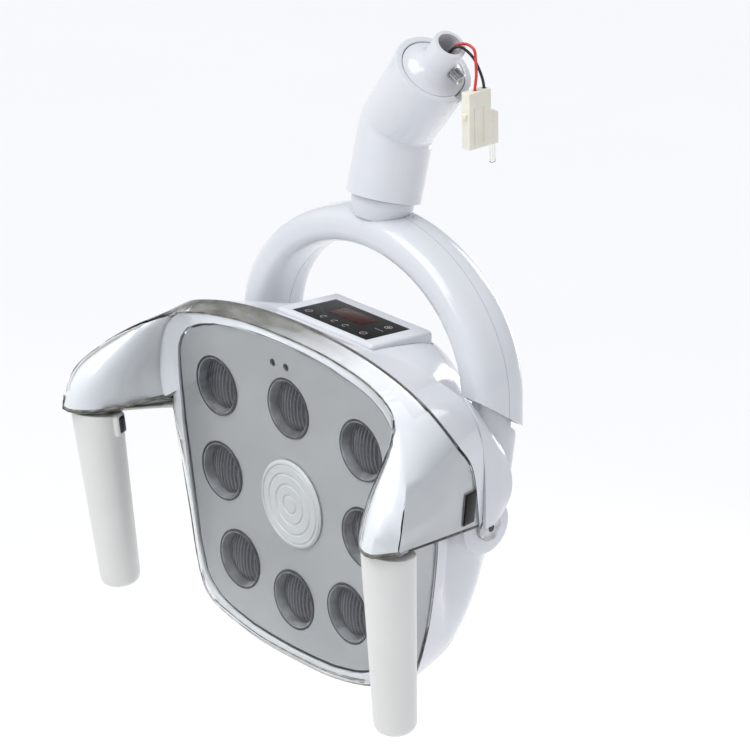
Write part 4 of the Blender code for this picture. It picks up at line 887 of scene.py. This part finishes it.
# painted reflection: faces near the rear edge on the left and under the wings take the dark edge colour of slot 1
for face in cover.data.polygons:
    middle = face.center * 1000 + ORIGIN
    flank = min(range(len(rear_edge)), key=lambda i: (rear_edge[i] - middle).length_squared)
    near_end = (rear_edge[flank] - middle).length < 4.5 and abs(face.normal.y) > 0.75 and middle.y > 7
    under_wing = face.normal.z < -0.5 and abs(middle.x) > 104 and middle.z < 45
    if near_end and middle.x < 20 or under_wing:
        face.material_index = 1
    # painted reflection: the upward faces of the top flank take the streaked colour of slot 2
    elif face.normal.z > 0.6 and middle.z > 92 and middle.y > SHEET_Y + 3 and abs(middle.x) < 120:
        face.material_index = 2
stands(inner, "head", "white_gloss", "bezel")
for side in (-1, 1):
    name = side_name("sensor_window", side)
    window = block(side_name("infrared_window", side), (WINDOW[0], WINDOW[1], 2.6), window_place(side), PANEL,
                   bevel=0.9, rotation=window_turn(side))
    stands(window, "head", "panel_glass", name)

# ---------------------------------------------------------------- face plate, lamps, badge
def dish(x, z):
    return PLATE_RISE * ((x / 105.0) ** 2 + ((z - 5.0) / 105.0) ** 2)


def plate_skin():
    bm = bmesh.new()
    outline = plate_ring(0.6, 0.0)
    fine = [p for a, b in zip(outline, outline[1:] + outline[:1]) for p in (a, a.lerp(b, 0.5))]
    shares = (1.0, 0.9, 0.8, 0.7, 0.6, 0.5, 0.4, 0.3, 0.2, 0.1)
    rows = [[bm.verts.new((p.x * s, -dish(p.x * s, 5 + (p.z - 5) * s), 5 + (p.z - 5) * s)) for p in fine]
            for s in shares]
    rows_to_faces(bm, rows)
    bm.faces.new(rows[-1])
    turn_outward(bm, rows[-1][0], (0, -1, 0))
    return mesh_from(bm, "face_sheet")


plate = add("face_sheet", plate_skin(), SILVER)
shaped(plate, "SOLIDIFY", thickness=1.2 * MM, offset=-1)
OUT = (0, -1, 0)
for number, (x, z) in enumerate(LAMPS, 1):
    place = Vector((x, -dish(x, z), z))
    cut(plate, turned("lamp_hole", [(0, 6), (LENS_R, 6), (LENS_R, -6), (0, -6)], None, place, OUT))
    r = LENS_R - GAP
    cup = turned(f"lamp_cup_{number}",
                 [(r - 0.3, 0.9), (r, 0.4), (r, -6), (13.5, -18), (4, -25.2), (0, -25.5), (0, -23.5), (3.6, -23.2),
                  (7, -21.6), (10.5, -19), (13.6, -14), (15.6, -9), (16.3, -5.6), (18.3, -5.2), (18.7, 0.9)],
                 BOWL_PAINTED_SHADE, place, OUT)
    stands(cup, "head", "reflector", f"reflector_{number}")
    halo = turned(f"lamp_halo_{number}", [(18.6, 0.7), (18.2, -5.1), (16.1, -5.4), (16.1, -4.6), (16.9, -1.9),
                                          (17.7, 0.3)], HALO, place, OUT)
    stands(halo, "head", "face_silver")
    dome = [(0, -0.3), (4, -0.5), (7.5, -1.0), (10.5, -1.8), (13.2, -2.9), (15.0, -3.9), (15.9, -4.7), (15.9, -5.2),
            (14.6, -5.0), (0, -4.6)]
    lens = turned(f"lamp_dome_{number}", dome, LENS, place, OUT)
    stands(lens, "head", "lens", f"lens_{number}")

cut(plate, turned("badge_hole", [(0, 4), (8, 4), (8, -6), (0, -6)], None, (0, 0, 0), OUT))
for x, z in ((-12.9, 91.5), (0.0, 92.0)):
    cut(plate, turned("pip_hole", [(0, 4), (2.6, 4), (2.6, -4), (0, -4)], None, (x, -dish(x, z), z), OUT, steps=32))
stands(plate, "head", "face_silver", "face_plate")
seal = [(0, 2.5), (5, 2.5), (5.6, 1.9), (6.4, 1.9), (7, 2.5), (12, 2.5), (12.6, 1.9), (13.4, 1.9), (14, 2.5),
        (19, 2.5), (19.6, 1.9), (20.4, 1.9), (21, 2.5), (25.2, 2.5), (25.6, 1.9), (26.2, 1.9), (26.6, 2.5),
        (BADGE_R - 1.2, 2.4), (BADGE_R, 1.4), (BADGE_R, 0.75), (7.7, 0.75), (7.7, -3.5), (0, -3.5)]
stands(turned("badge_rings", seal, BADGE, (0, 0, 0), OUT, steps=96), "head", "badge_grey", "badge")

# ---------------------------------------------------------------- rear housing and ear covers
def hollow(ring, setback, bridged):
    """The ring moved in by the wall and along Y by the setback; a bridge crosses straight over the wing."""
    count = len(ring)
    half = []
    for i in range(LOW_END + SIDE_SPANS + 1):
        along = ring[(i + 1) % count] - ring[i - 1]
        inward = Vector((-along.z, 0, along.x)).normalized()
        if inward.dot(Vector((0, 0, 5)) - ring[i]) < 0:
            inward = -inward
        half.append(ring[i] + inward * HOUSING_WALL + Vector((0, setback, 0)))
    if bridged:
        start = half[WING_START]
        end = ring[LOW_END] + Vector((-HOUSING_WALL, setback, 0))
        for i in range(WING_START, LOW_END + 1):
            point = start.lerp(end, (i - WING_START) / (LOW_END - WING_START))
            half[i] = Vector((point.x, ring[i].y + setback, point.z))
    half[0].x = half[-1].x = 0.0
    return mirror_ring(half)


body_rings = [[p + Vector((0, 0.6, 0)) for p in rear_edge]]
body_rings += [ring_of(*keys) for keys in (BODY_1, BODY_2, BODY_3, BODY_4)]
body_rings += [shrunk(body_rings[-1], 0.74, 105), shrunk(body_rings[-1], 0.4, 110)]
hollows = [hollow(ring, setback, bridged) for ring, setback, bridged in
           zip(body_rings, (1.0, -2.4, -2.4, 0.0, 0.0), (True, True, False, False, False))]
hollows += [shrunk(hollows[-1], 0.74, 105 - HOUSING_WALL), shrunk(hollows[-1], 0.4, 110 - HOUSING_WALL)]


def finer(rings, steps):
    """More rings on a smooth path through the given ones."""
    columns = [catmull([ring[i] for ring in rings], steps) for i in range(len(rings[0]))]
    return [[column[k] for column in columns] for k in range(len(columns[0]))]


outer_path = [body_rings[0]] + finer(body_rings[1:5], 4) + finer(body_rings[4:], 2)[1:]
bm = bmesh.new()
outer_rows = [[bm.verts.new(p) for p in ring] for ring in outer_path]
inner_rows = [[bm.verts.new(p) for p in ring] for ring in hollows]
rows_to_faces(bm, outer_rows[::-1] + inner_rows)
bm.faces.new(outer_rows[-1])
bm.faces.new(inner_rows[-1])
turn_outward(bm, outer_rows[4][0], (0, 0, 1))
housing = add("housing_skin", mesh_from(bm, "housing_skin"), GLOSS)

CONSOLE_Y, CONSOLE_Z = 52.0, 102.3
LEANED = Matrix.Rotation(math.radians(-4.35), 4, "X")


def on_console(x, y, z):
    return LEANED @ Vector((x, y, z)) + Vector((0, CONSOLE_Y, CONSOLE_Z))


cut(housing, block("console_opening", (92.6, 50.6, 40), on_console(0, 0, 0), None, rotation=LEANED))
for side in (-1, 1):
    cut(housing, turned("bush_hole", [(0, 100), (8.3, 100), (8.3, 70), (0, 70)], None,
                        (0, TILT_Y, TILT_Z), (side, 0, 0)))
stands(housing, "head", "white_gloss", "rear_housing")

EAR_ROWS = [((109, 47.4, 90), (117.5, 48.0, 79), (122, 48.4, 62), (123.4, 49, 38), (122.8, 49.6, 22), (122, 50, 8)),
            ((108.5, 51.5, 86), (115.5, 55.5, 75), (121, 60, 58), (123, 61, 38), (122.4, 61, 22), (120.4, 60, 8.5)),
            ((107.5, 54, 81), (112.6, 62, 68), (118.4, 70, 50), (120.6, 73, 36), (120.4, 72.6, 24), (118.2, 69, 13))]
for side in (-1, 1):
    bm = bmesh.new()
    columns = [catmull([Vector(p) for p in row_], 6) for row_ in EAR_ROWS]
    lines = [catmull([column[i] for column in columns], 6) for i in range(len(columns[0]))]
    grid = [[bm.verts.new(mirrored(p, side)) for p in line] for line in lines]
    rows_to_faces(bm, grid, closed=False)
    turn_outward(bm, grid[3][2], (side, 0, 0))
    ear = add(side_name("ear_skin", side), mesh_from(bm, "ear"), GLOSS)
    shaped(ear, "SOLIDIFY", thickness=2.3 * MM, offset=-1)
    stands(ear, "head", "white_gloss", side_name("ear_cover", side))

# ---------------------------------------------------------------- console
console = block("console_surround", (92, 50, 14), on_console(0, 0, 0), GLOSS, bevel=2.4, rotation=LEANED)
cut(console, block("console_pocket", (82, 40, 14), on_console(0, 0, -4), None, rotation=LEANED))
cut(console, block("panel_recess", (71, 36, 4), on_console(0, -2.6, 7.6), None, rotation=LEANED))
cut(console, block("display_slot", (31, 15, 6), on_console(-3, 2, 4), None, rotation=LEANED))
stands(console, "head", "white_gloss", "console_frame")
panel = block("panel_sheet", (70.4, 35.4, 1.3), on_console(0, -2.6, 6.4), PANEL, bevel=0.35, rotation=LEANED)
stands(panel, "head", "panel_glass", "control_panel")
screen = block("display_window", (31.5, 14.5, 0.12), on_console(-3, 2.4, 7.1), DISPLAY, bevel=0.05, rotation=LEANED,
               segments=2)
stands(screen, "head", "display")
bm = bmesh.new()


def print_ring(cx, cy, r0, r1, start=0.0, stop=1.0, steps=24):
    """A flat printed arc on the panel's top."""
    rows = []
    for k in range(steps + 1):
        a = 2 * math.pi * (start + (stop - start) * k / steps)
        rows.append([bm.verts.new(on_console(cx + r * math.cos(a), cy + r * math.sin(a), 7.09)) for r in (r0, r1)])
    for a, b in zip(rows, rows[1:]):
        bm.faces.new((a[0], a[1], b[1], b[0]))


def print_bar(x0, y0, x1, y1):
    bm.faces.new([bm.verts.new(on_console(x, y, 7.09)) for x, y in ((x0, y0), (x1, y0), (x1, y1), (x0, y1))])


for cx in (-27.5, 24.5):
    print_ring(cx, -13.5, 2.0, 2.5)
    print_bar(cx - 1.2, -13.7, cx + 1.2, -13.3)
for k in range(3):
    print_ring(-13.5 + 10.5 * k, -13.5, 1.7, 2.15, 0.12, 0.88)
    print_bar(-13.7 + 10.5 * k, -13.2, -13.3 + 10.5 * k, -10.8)
print_ring(25.5, 6.0, 2.1, 2.6)
print_ring(25.5, 6.0, 0.5, 1.1)
print_bar(21.5, -2.0, 29.5, -1.5)
marks = add("panel_marks", mesh_from(bm, "panel_marks"), ICON)
stands(marks, "head", "panel_glass")

# ---------------------------------------------------------------- handles, sockets and buttons
WING_SLOPE = -0.24
STEM_R, BORE_CLEAR, BUTTON_DROP, BUTTON_FACE = 10.2, 0.4, 8.4, 19.6


def coil(name, radius, wire, turns, start, end, mat):
    """A spring between two points, as one closed wire."""
    axis = frame_along(end - start, start)
    count = int(turns * 24)
    path = [Vector((radius * math.cos(2 * math.pi * k / 24), radius * math.sin(2 * math.pi * k / 24),
                    (end - start).length * k / count)) for k in range(count + 1)]
    rings = []
    for k, p in enumerate(path):
        ahead = (path[min(k + 1, count)] - path[max(k - 1, 0)]).normalized()
        outward = Vector((p.x, p.y, 0)).normalized()
        third = ahead.cross(outward).normalized()
        rings.append([axis @ (p + (outward * math.cos(2 * math.pi * j / 8) + third * math.sin(2 * math.pi * j / 8)) * wire)
                      for j in range(8)])
    return loft(name, rings, mat)


for side in (-1, 1):
    top, axis = mirrored(HANDLE_TOP, side), mirrored(HANDLE_DIR, side)
    end = -HANDLE_LENGTH - 4.5
    taper = (HANDLE_R - HANDLE_FOOT_R) / HANDLE_LENGTH
    bore = STEM_R + BORE_CLEAR
    sleeve = [(HANDLE_R - 0.8, -0.9), (HANDLE_R - 0.2, -1.15), (HANDLE_R, -1.8), (HANDLE_R, -6.5),
              (HANDLE_R - taper * 50, -50), (HANDLE_FOOT_R, end + 6.5), (HANDLE_FOOT_R - 0.4, end + 4.0),
              (HANDLE_FOOT_R - 1.2, end + 2.2), (HANDLE_FOOT_R - 2.6, end + 0.9), (HANDLE_FOOT_R - 4.4, end + 0.3),
              (0, end), (0, -38), (bore, -35), (bore, -0.9)]
    grip = turned(side_name("grip", side), sleeve, SATIN, top, axis, steps=80, slant=(-6.5, WING_SLOPE))
    inward = Vector((-0.93 * side, 0.37, 0))
    inward = (inward - axis * inward.dot(axis)).normalized()
    spot = top - axis * BUTTON_DROP
    facing = Matrix([[inward[k], axis.cross(inward)[k], axis[k]] for k in range(3)]).to_4x4()
    join(grip, block("boss", (7, 11, 15), spot + inward * 14.9, None, bevel=2.6, rotation=facing))
    cut(grip, block("pocket", (7.6, 6.6, 11.6), spot + inward * 16.2, None, bevel=1.6, rotation=facing))
    stands(grip, "head", "handle_satin", side_name("handle", side))
    button = block(side_name("button_cap", side), (5.0, 6, 11), spot + inward * (BUTTON_FACE - 2.5), DARK,
                   bevel=1.8, rotation=facing)
    stands(button, side_name("button", side), "dark_plastic", side_name("release_button", side))
    foot, head = spot + inward * 7.6, spot + inward * (BUTTON_FACE - 5.6)
    spring = coil(side_name("spring_coil", side), 2.0, 0.3, 3.5, foot, head, STEEL)
    stands(spring, "head", "steel", side_name("button_spring", side))
    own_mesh(spring)

# ---------------------------------------------------------------- yoke
SOFT, FIRM = 2 / 2.8, 2 / 3.6


def arch_stations():
    stations = [(Vector((ARCH_HALF, ARCH_Y_FOOT, z)), Vector((1, 0, 0)), 0.0) for z in (46.0, 55.0, 64.0)]
    count = 72
    for k in range(count + 1):
        a = math.pi * k / count
        rise = math.sin(a)
        centre = Vector((ARCH_HALF * math.cos(a), ARCH_Y_FOOT + (ARCH_Y_TOP - ARCH_Y_FOOT) * rise,
                         TILT_Z + ARCH_SPRING + ARCH_RISE * rise))
        outward = Vector((math.cos(a) / ARCH_HALF, 0, rise / ARCH_RISE)).normalized()
        stations.append((centre, outward, rise))
    return stations + [(c * FLIP, o * FLIP, s) for c, o, s in stations[2::-1]]


def half_section(centre, outward, slim, facing, inset):
    points = []
    count = 24
    for k in range(count + 1):
        a = math.pi * k / count
        power = FIRM if 2 * k < count and facing < 0 else SOFT
        wide = (ARM_OUT if 2 * k < count else ARM_IN) - ARM_SLIMMER * slim - inset
        deep = (ARM_FRONT if facing < 0 else ARM_REAR) - inset
        across = math.copysign(abs(math.cos(a)) ** power, math.cos(a)) * wide
        depth = abs(math.sin(a)) ** power * deep + GAP / 2
        points.append(centre + outward * across + Vector((0, facing * depth, 0)))
    return points


foot_cut = Matrix.Rotation(math.radians(-35.6), 4, "X")
COLLAR = [(NECK_R - 0.5, -0.4), (NECK_R, -0.9), (NECK_R, -5), (NECK_R - 0.4, -7), (NECK_R - 1.2, -9),
          (NECK_R - 2.2, -11.4), (NECK_R - 3.6, -14)]
for name, node, facing in (("yoke_shell_front", "yoke_front", -1), ("yoke_shell_rear", "yoke_rear", 1)):
    rings = []
    for centre, outward, slim in arch_stations():
        rings.append(half_section(centre, outward, slim, facing, 0.0)
                     + half_section(centre, outward, slim, facing, YOKE_WALL)[::-1])
    yoke_half = loft(name, rings, GLOSS)
    cut(yoke_half, block("foot_cutter", (300, 140, 60), Vector((0, 73.5, 72.5)) - foot_cut @ Vector((0, 0, 30)),
                         None, rotation=foot_cut))
    cut(yoke_half, turned("collar_hole", [(0, 2), (NECK_R + GAP, 2)] + [(r + GAP, h) for r, h in COLLAR[1:]]
                          + [(11.6, -14.3), (11.6, -18), (0, -18)], None, NECK_FOOT, NECK_DIR))
    stands(yoke_half, "yoke", "white_gloss", node)
collar = turned("collar_ring", COLLAR + [(10.3, -14), (10.3, -0.4)], GLOSS, NECK_FOOT, NECK_DIR, steps=96)
stands(collar, "yoke", "white_gloss", "neck_collar")

ARM_END = ((86, 96, 109, 61, 86), (68, 95, 108, 59, 86.8), (60, 94.4, 108.4, 57.8, 87.4),
           (57, 94, 109, 57, 90.6), (52, 93.6, 109, 56.5, 91),
           (34, 92, 110, 53.4, 87), (16, 91.8, 110, 51, 80), (2, 91.8, 110, 49, 76))
for side in (-1, 1):
    rings = []
    for z, x0, x1, y0, y1 in ARM_END:
        ring = []
        for k in range(48):
            a = 2 * math.pi * (k + 0.5) / 48
            px = math.copysign(abs(math.cos(a)) ** 0.6, math.cos(a)) * (x1 - x0) / 2
            py = math.copysign(abs(math.sin(a)) ** 0.6, math.sin(a)) * (y1 - y0) / 2
            ring.append(mirrored(((x0 + x1) / 2 + px, (y0 + y1) / 2 + py, z), side))
        rings.append(ring)
    fork = loft(side_name("fork_end", side), rings, GLOSS)
    join(fork, turned("fork_boss", [(BOSS_R - 1.5, 110), (BOSS_R - 0.4, 109.4), (BOSS_R, 108.5), (BOSS_R, 91.8),
                                    (0, 91.8), (0, 110)], None, (0, TILT_Y, TILT_Z), (side, 0, 0)))
    cut(fork, turned("fork_hole", [(0, 130), (5.3, 130), (5.3, 85), (0, 85)], None, (0, TILT_Y, TILT_Z),
                     (side, 0, 0), steps=48))
    stands(fork, "yoke", "white_gloss", side_name("arm_end", side))
    screw = turned(side_name("pin_head", side),
                   [(2.3, 114), (7.4, 114), (8.2, 113.7), (8.6, 113), (8.6, 110.3), (5, 110.3), (5, 78.6), (8, 78.6),
                    (8, 75), (0, 75), (0, 111.6), (2.3, 111.6)], STEEL, (0, TILT_Y, TILT_Z), (side, 0, 0))
    stands(screw, "yoke", "steel", side_name("pivot_pin", side))

# ---------------------------------------------------------------- elbow and spigot
BEND_AXIS = NECK_DIR.cross(SPIGOT_DIR).normalized()
BEND_HALF = NECK_DIR.angle(SPIGOT_DIR) / 2


BEND_AXIS = NECK_DIR.cross(SPIGOT_DIR).normalized()
BEND_HALF = NECK_DIR.angle(SPIGOT_DIR) / 2


def hoop(place, direction, radius, stretch=1.0, outer=1.0):
    """A ring of points square to a direction; stretch widens it in the plane of the bend."""
    across = direction.cross(BEND_AXIS).normalized()
    inner_side = SPIGOT_DIR - NECK_DIR
    ring = []
    for k in range(96):
        a = 2 * math.pi * k / 96
        reach = across * math.sin(a) * radius * stretch
        if reach.dot(inner_side) < 0:
            reach *= outer
        ring.append(place + BEND_AXIS * math.cos(a) * radius + reach)
    return ring


def elbow_side(wall):
    """Rings from the neck's foot up to just under the rim, a wall's thickness inside the outer surface."""
    middle = (NECK_DIR + SPIGOT_DIR).normalized()
    wide = 1 / math.cos(BEND_HALF)
    low, high = ELBOW_R - wall, RING_R - wall
    return [hoop(NECK_FOOT, NECK_DIR, low), hoop(NECK_FOOT + NECK_DIR * 20, NECK_DIR, low),
            hoop(MITRE - NECK_DIR * 12, NECK_DIR, low, 1.0, 1.0),
            hoop(MITRE, middle, low, wide, 0.93),
            hoop(MITRE + SPIGOT_DIR * 12, SPIGOT_DIR, low + (high - low) * 0.3),
            hoop(MITRE + SPIGOT_DIR * 32, SPIGOT_DIR, low + (high - low) * 0.7)]


LEDGE_R = 20.8
outside = finer(elbow_side(0.0), 5)
rings = outside + [hoop(RING - SPIGOT_DIR * 1.6, SPIGOT_DIR, RING_R), hoop(RING - SPIGOT_DIR * 0.7, SPIGOT_DIR, RING_R - 0.15),
                   hoop(RING - SPIGOT_DIR * 0.2, SPIGOT_DIR, RING_R - 0.5),
                   hoop(RING, SPIGOT_DIR, RING_R - 1.0), hoop(RING, SPIGOT_DIR, LEDGE_R + 0.4),
                   hoop(RING - SPIGOT_DIR * 0.4, SPIGOT_DIR, LEDGE_R),
                   hoop(RING - SPIGOT_DIR * 6.0, SPIGOT_DIR, LEDGE_R),
                   hoop(RING - SPIGOT_DIR * 7.6, SPIGOT_DIR, RING_R - ELBOW_WALL)]
rings += elbow_side(ELBOW_WALL)[::-1]
elbow = loft("elbow_shell", rings, GLOSS, closed_path=True)
RING_DOWN = Vector((SPIGOT_DIR.z, 0, -SPIGOT_DIR.x))
spin = Matrix([[RING_DOWN[k], (0, 1, 0)[k], SPIGOT_DIR[k]] for k in range(3)]).to_4x4()
notch_turn = spin @ Matrix.Rotation(math.radians(14), 4, "Z")
cut(elbow, block("rim_notch", (9, 8, 7), RING + notch_turn @ Vector((24.5, 0, 0)), None, bevel=0.6,
                 rotation=notch_turn))
stands(elbow, "elbow_piece", "white_gloss", "elbow")
spigot = turned("spigot_shell", [(SPIGOT_R - 0.7, SPIGOT_REACH), (SPIGOT_R - 0.2, SPIGOT_REACH - 0.2),
                                 (SPIGOT_R, SPIGOT_REACH - 0.8), (SPIGOT_R, 9), (10.7, 7.2), (12.0, 5.0), (13.6, 2.8),
                                 (15.6, 1.2), (17.8, 0.0), (20.3, -0.6), (20.3, -5.6), (13, -7.6), (13, -28),
                                 (BORE_R, -28), (BORE_R, SPIGOT_REACH)], GLOSS, RING, SPIGOT_DIR, steps=96)
screw_turn = spin @ Matrix.Rotation(math.radians(12), 4, "Z")
screw_dir = screw_turn @ Vector((1, 0, 0))
screw_place = RING + SPIGOT_DIR * 9.6
cut(spigot, turned("screw_hole", [(0, 24), (4.5, 24), (4.5, 11.0), (2.4, 10.8), (2.4, 5), (0, 5)], None, screw_place,
                   screw_dir, steps=48))
stands(spigot, "arm_spigot", "white_gloss", "spigot")
set_screw = turned("grub_screw", [(3.2, 18.2), (3.7, 18.0), (4.1, 17.4), (4.1, 11.4), (2.1, 11.2), (2.1, 8.4), (0, 8.4),
                                  (0, 15.2)], STEEL, screw_place, screw_dir, steps=48)
cut(set_screw, turned("hex", [(0, 20), (1.9, 20), (1.9, 15.6), (0, 15.2)], None, screw_place, screw_dir, steps=6))
for k in range(16):
    a = 2 * math.pi * k / 16
    spot = screw_place + screw_turn @ Vector((14.4, 4.2 * math.cos(a), 4.2 * math.sin(a)))
    cut(set_screw, block("knurl", (8, 0.5, 0.5), spot, None, rotation=screw_turn))
stands(set_screw, "arm_spigot", "steel", "set_screw")

# ---------------------------------------------------------------- finishes for the nodes that stay
STAYS = {"led_board": BOARD, "driver_board": BOARD, "heat_sink": ALLOY, "display": DISPLAY, "neck_shaft": STEEL,
         "retaining_ring": STEEL, "spigot_bearing": ACETAL, "neck_bearing": ACETAL, "pivot_bush_left": ACETAL,
         "pivot_bush_right": ACETAL, "handle_socket_left": ALLOY, "handle_socket_right": ALLOY,
         "connector_latch": LATCH}
for name, mat in STAYS.items():
    slots = frame_object(name).data.materials
    slots.clear()
    slots.append(mat)

# ---------------------------------------------------------------- floor, backdrop and light
lowest = CAD_BOX[0].z
bm = bmesh.new()
grid = [[bm.verts.new((at(NECK_FOOT).x + 2.0 * i, 2.0 * k, lowest - 0.45)) for i in range(-12, 13)]
        for k in range(-12, 13)]
rows_to_faces(bm, grid, closed=False)
bmesh.ops.recalc_face_normals(bm, faces=bm.faces)
floor_mesh = mesh_from(bm, "floor")
floor_mesh.materials.append(FLOOR)
floor_mesh.shade_smooth()
floor = bpy.data.objects.new("floor", floor_mesh)
bpy.context.scene.collection.objects.link(floor)

world = bpy.data.worlds.new("studio")
bpy.context.scene.world = world
world.use_nodes = True
world.node_tree.nodes["Background"].inputs["Color"].default_value = (0.93, 0.95, 1.0, 1.0)
world.node_tree.nodes["Background"].inputs["Strength"].default_value = 0.55


def lamp(name, place, aim, size, power, colour=(1, 1, 1)):
    data = bpy.data.lights.new(name, "AREA")
    data.shape = "RECTANGLE"
    data.size, data.size_y = size
    data.energy = power
    data.color = colour
    obj = bpy.data.objects.new(name, data)
    bpy.context.scene.collection.objects.link(obj)
    obj.location = place
    obj.rotation_mode = "QUATERNION"
    obj.rotation_quaternion = (Vector(aim) - Vector(place)).to_track_quat("-Z", "Y")


centre = (CAD_BOX[0] + CAD_BOX[1]) / 2
sun_data = bpy.data.lights.new("overhead", "SUN")
sun_data.energy = 1.75
sun_data.angle = math.radians(50)
sun = bpy.data.objects.new("overhead", sun_data)
bpy.context.scene.collection.objects.link(sun)
sun.rotation_mode = "QUATERNION"
sun.rotation_quaternion = (-(Vector((0, 0, 1.0)) - right * 0.42 + back * 0.16)).to_track_quat("-Z", "Y")
lamp("key", centre + back * 0.9 - right * 0.95 + Vector((0, 0, 0.75)), centre, (0.5, 0.9), 4)
lamp("rim", centre - back * 0.9 + right * 0.7 + Vector((0, 0, 0.5)), centre, (0.4, 0.9), 3)
bpy.context.scene.view_settings.view_transform = "Standard"

bpy.context.view_layer.update()
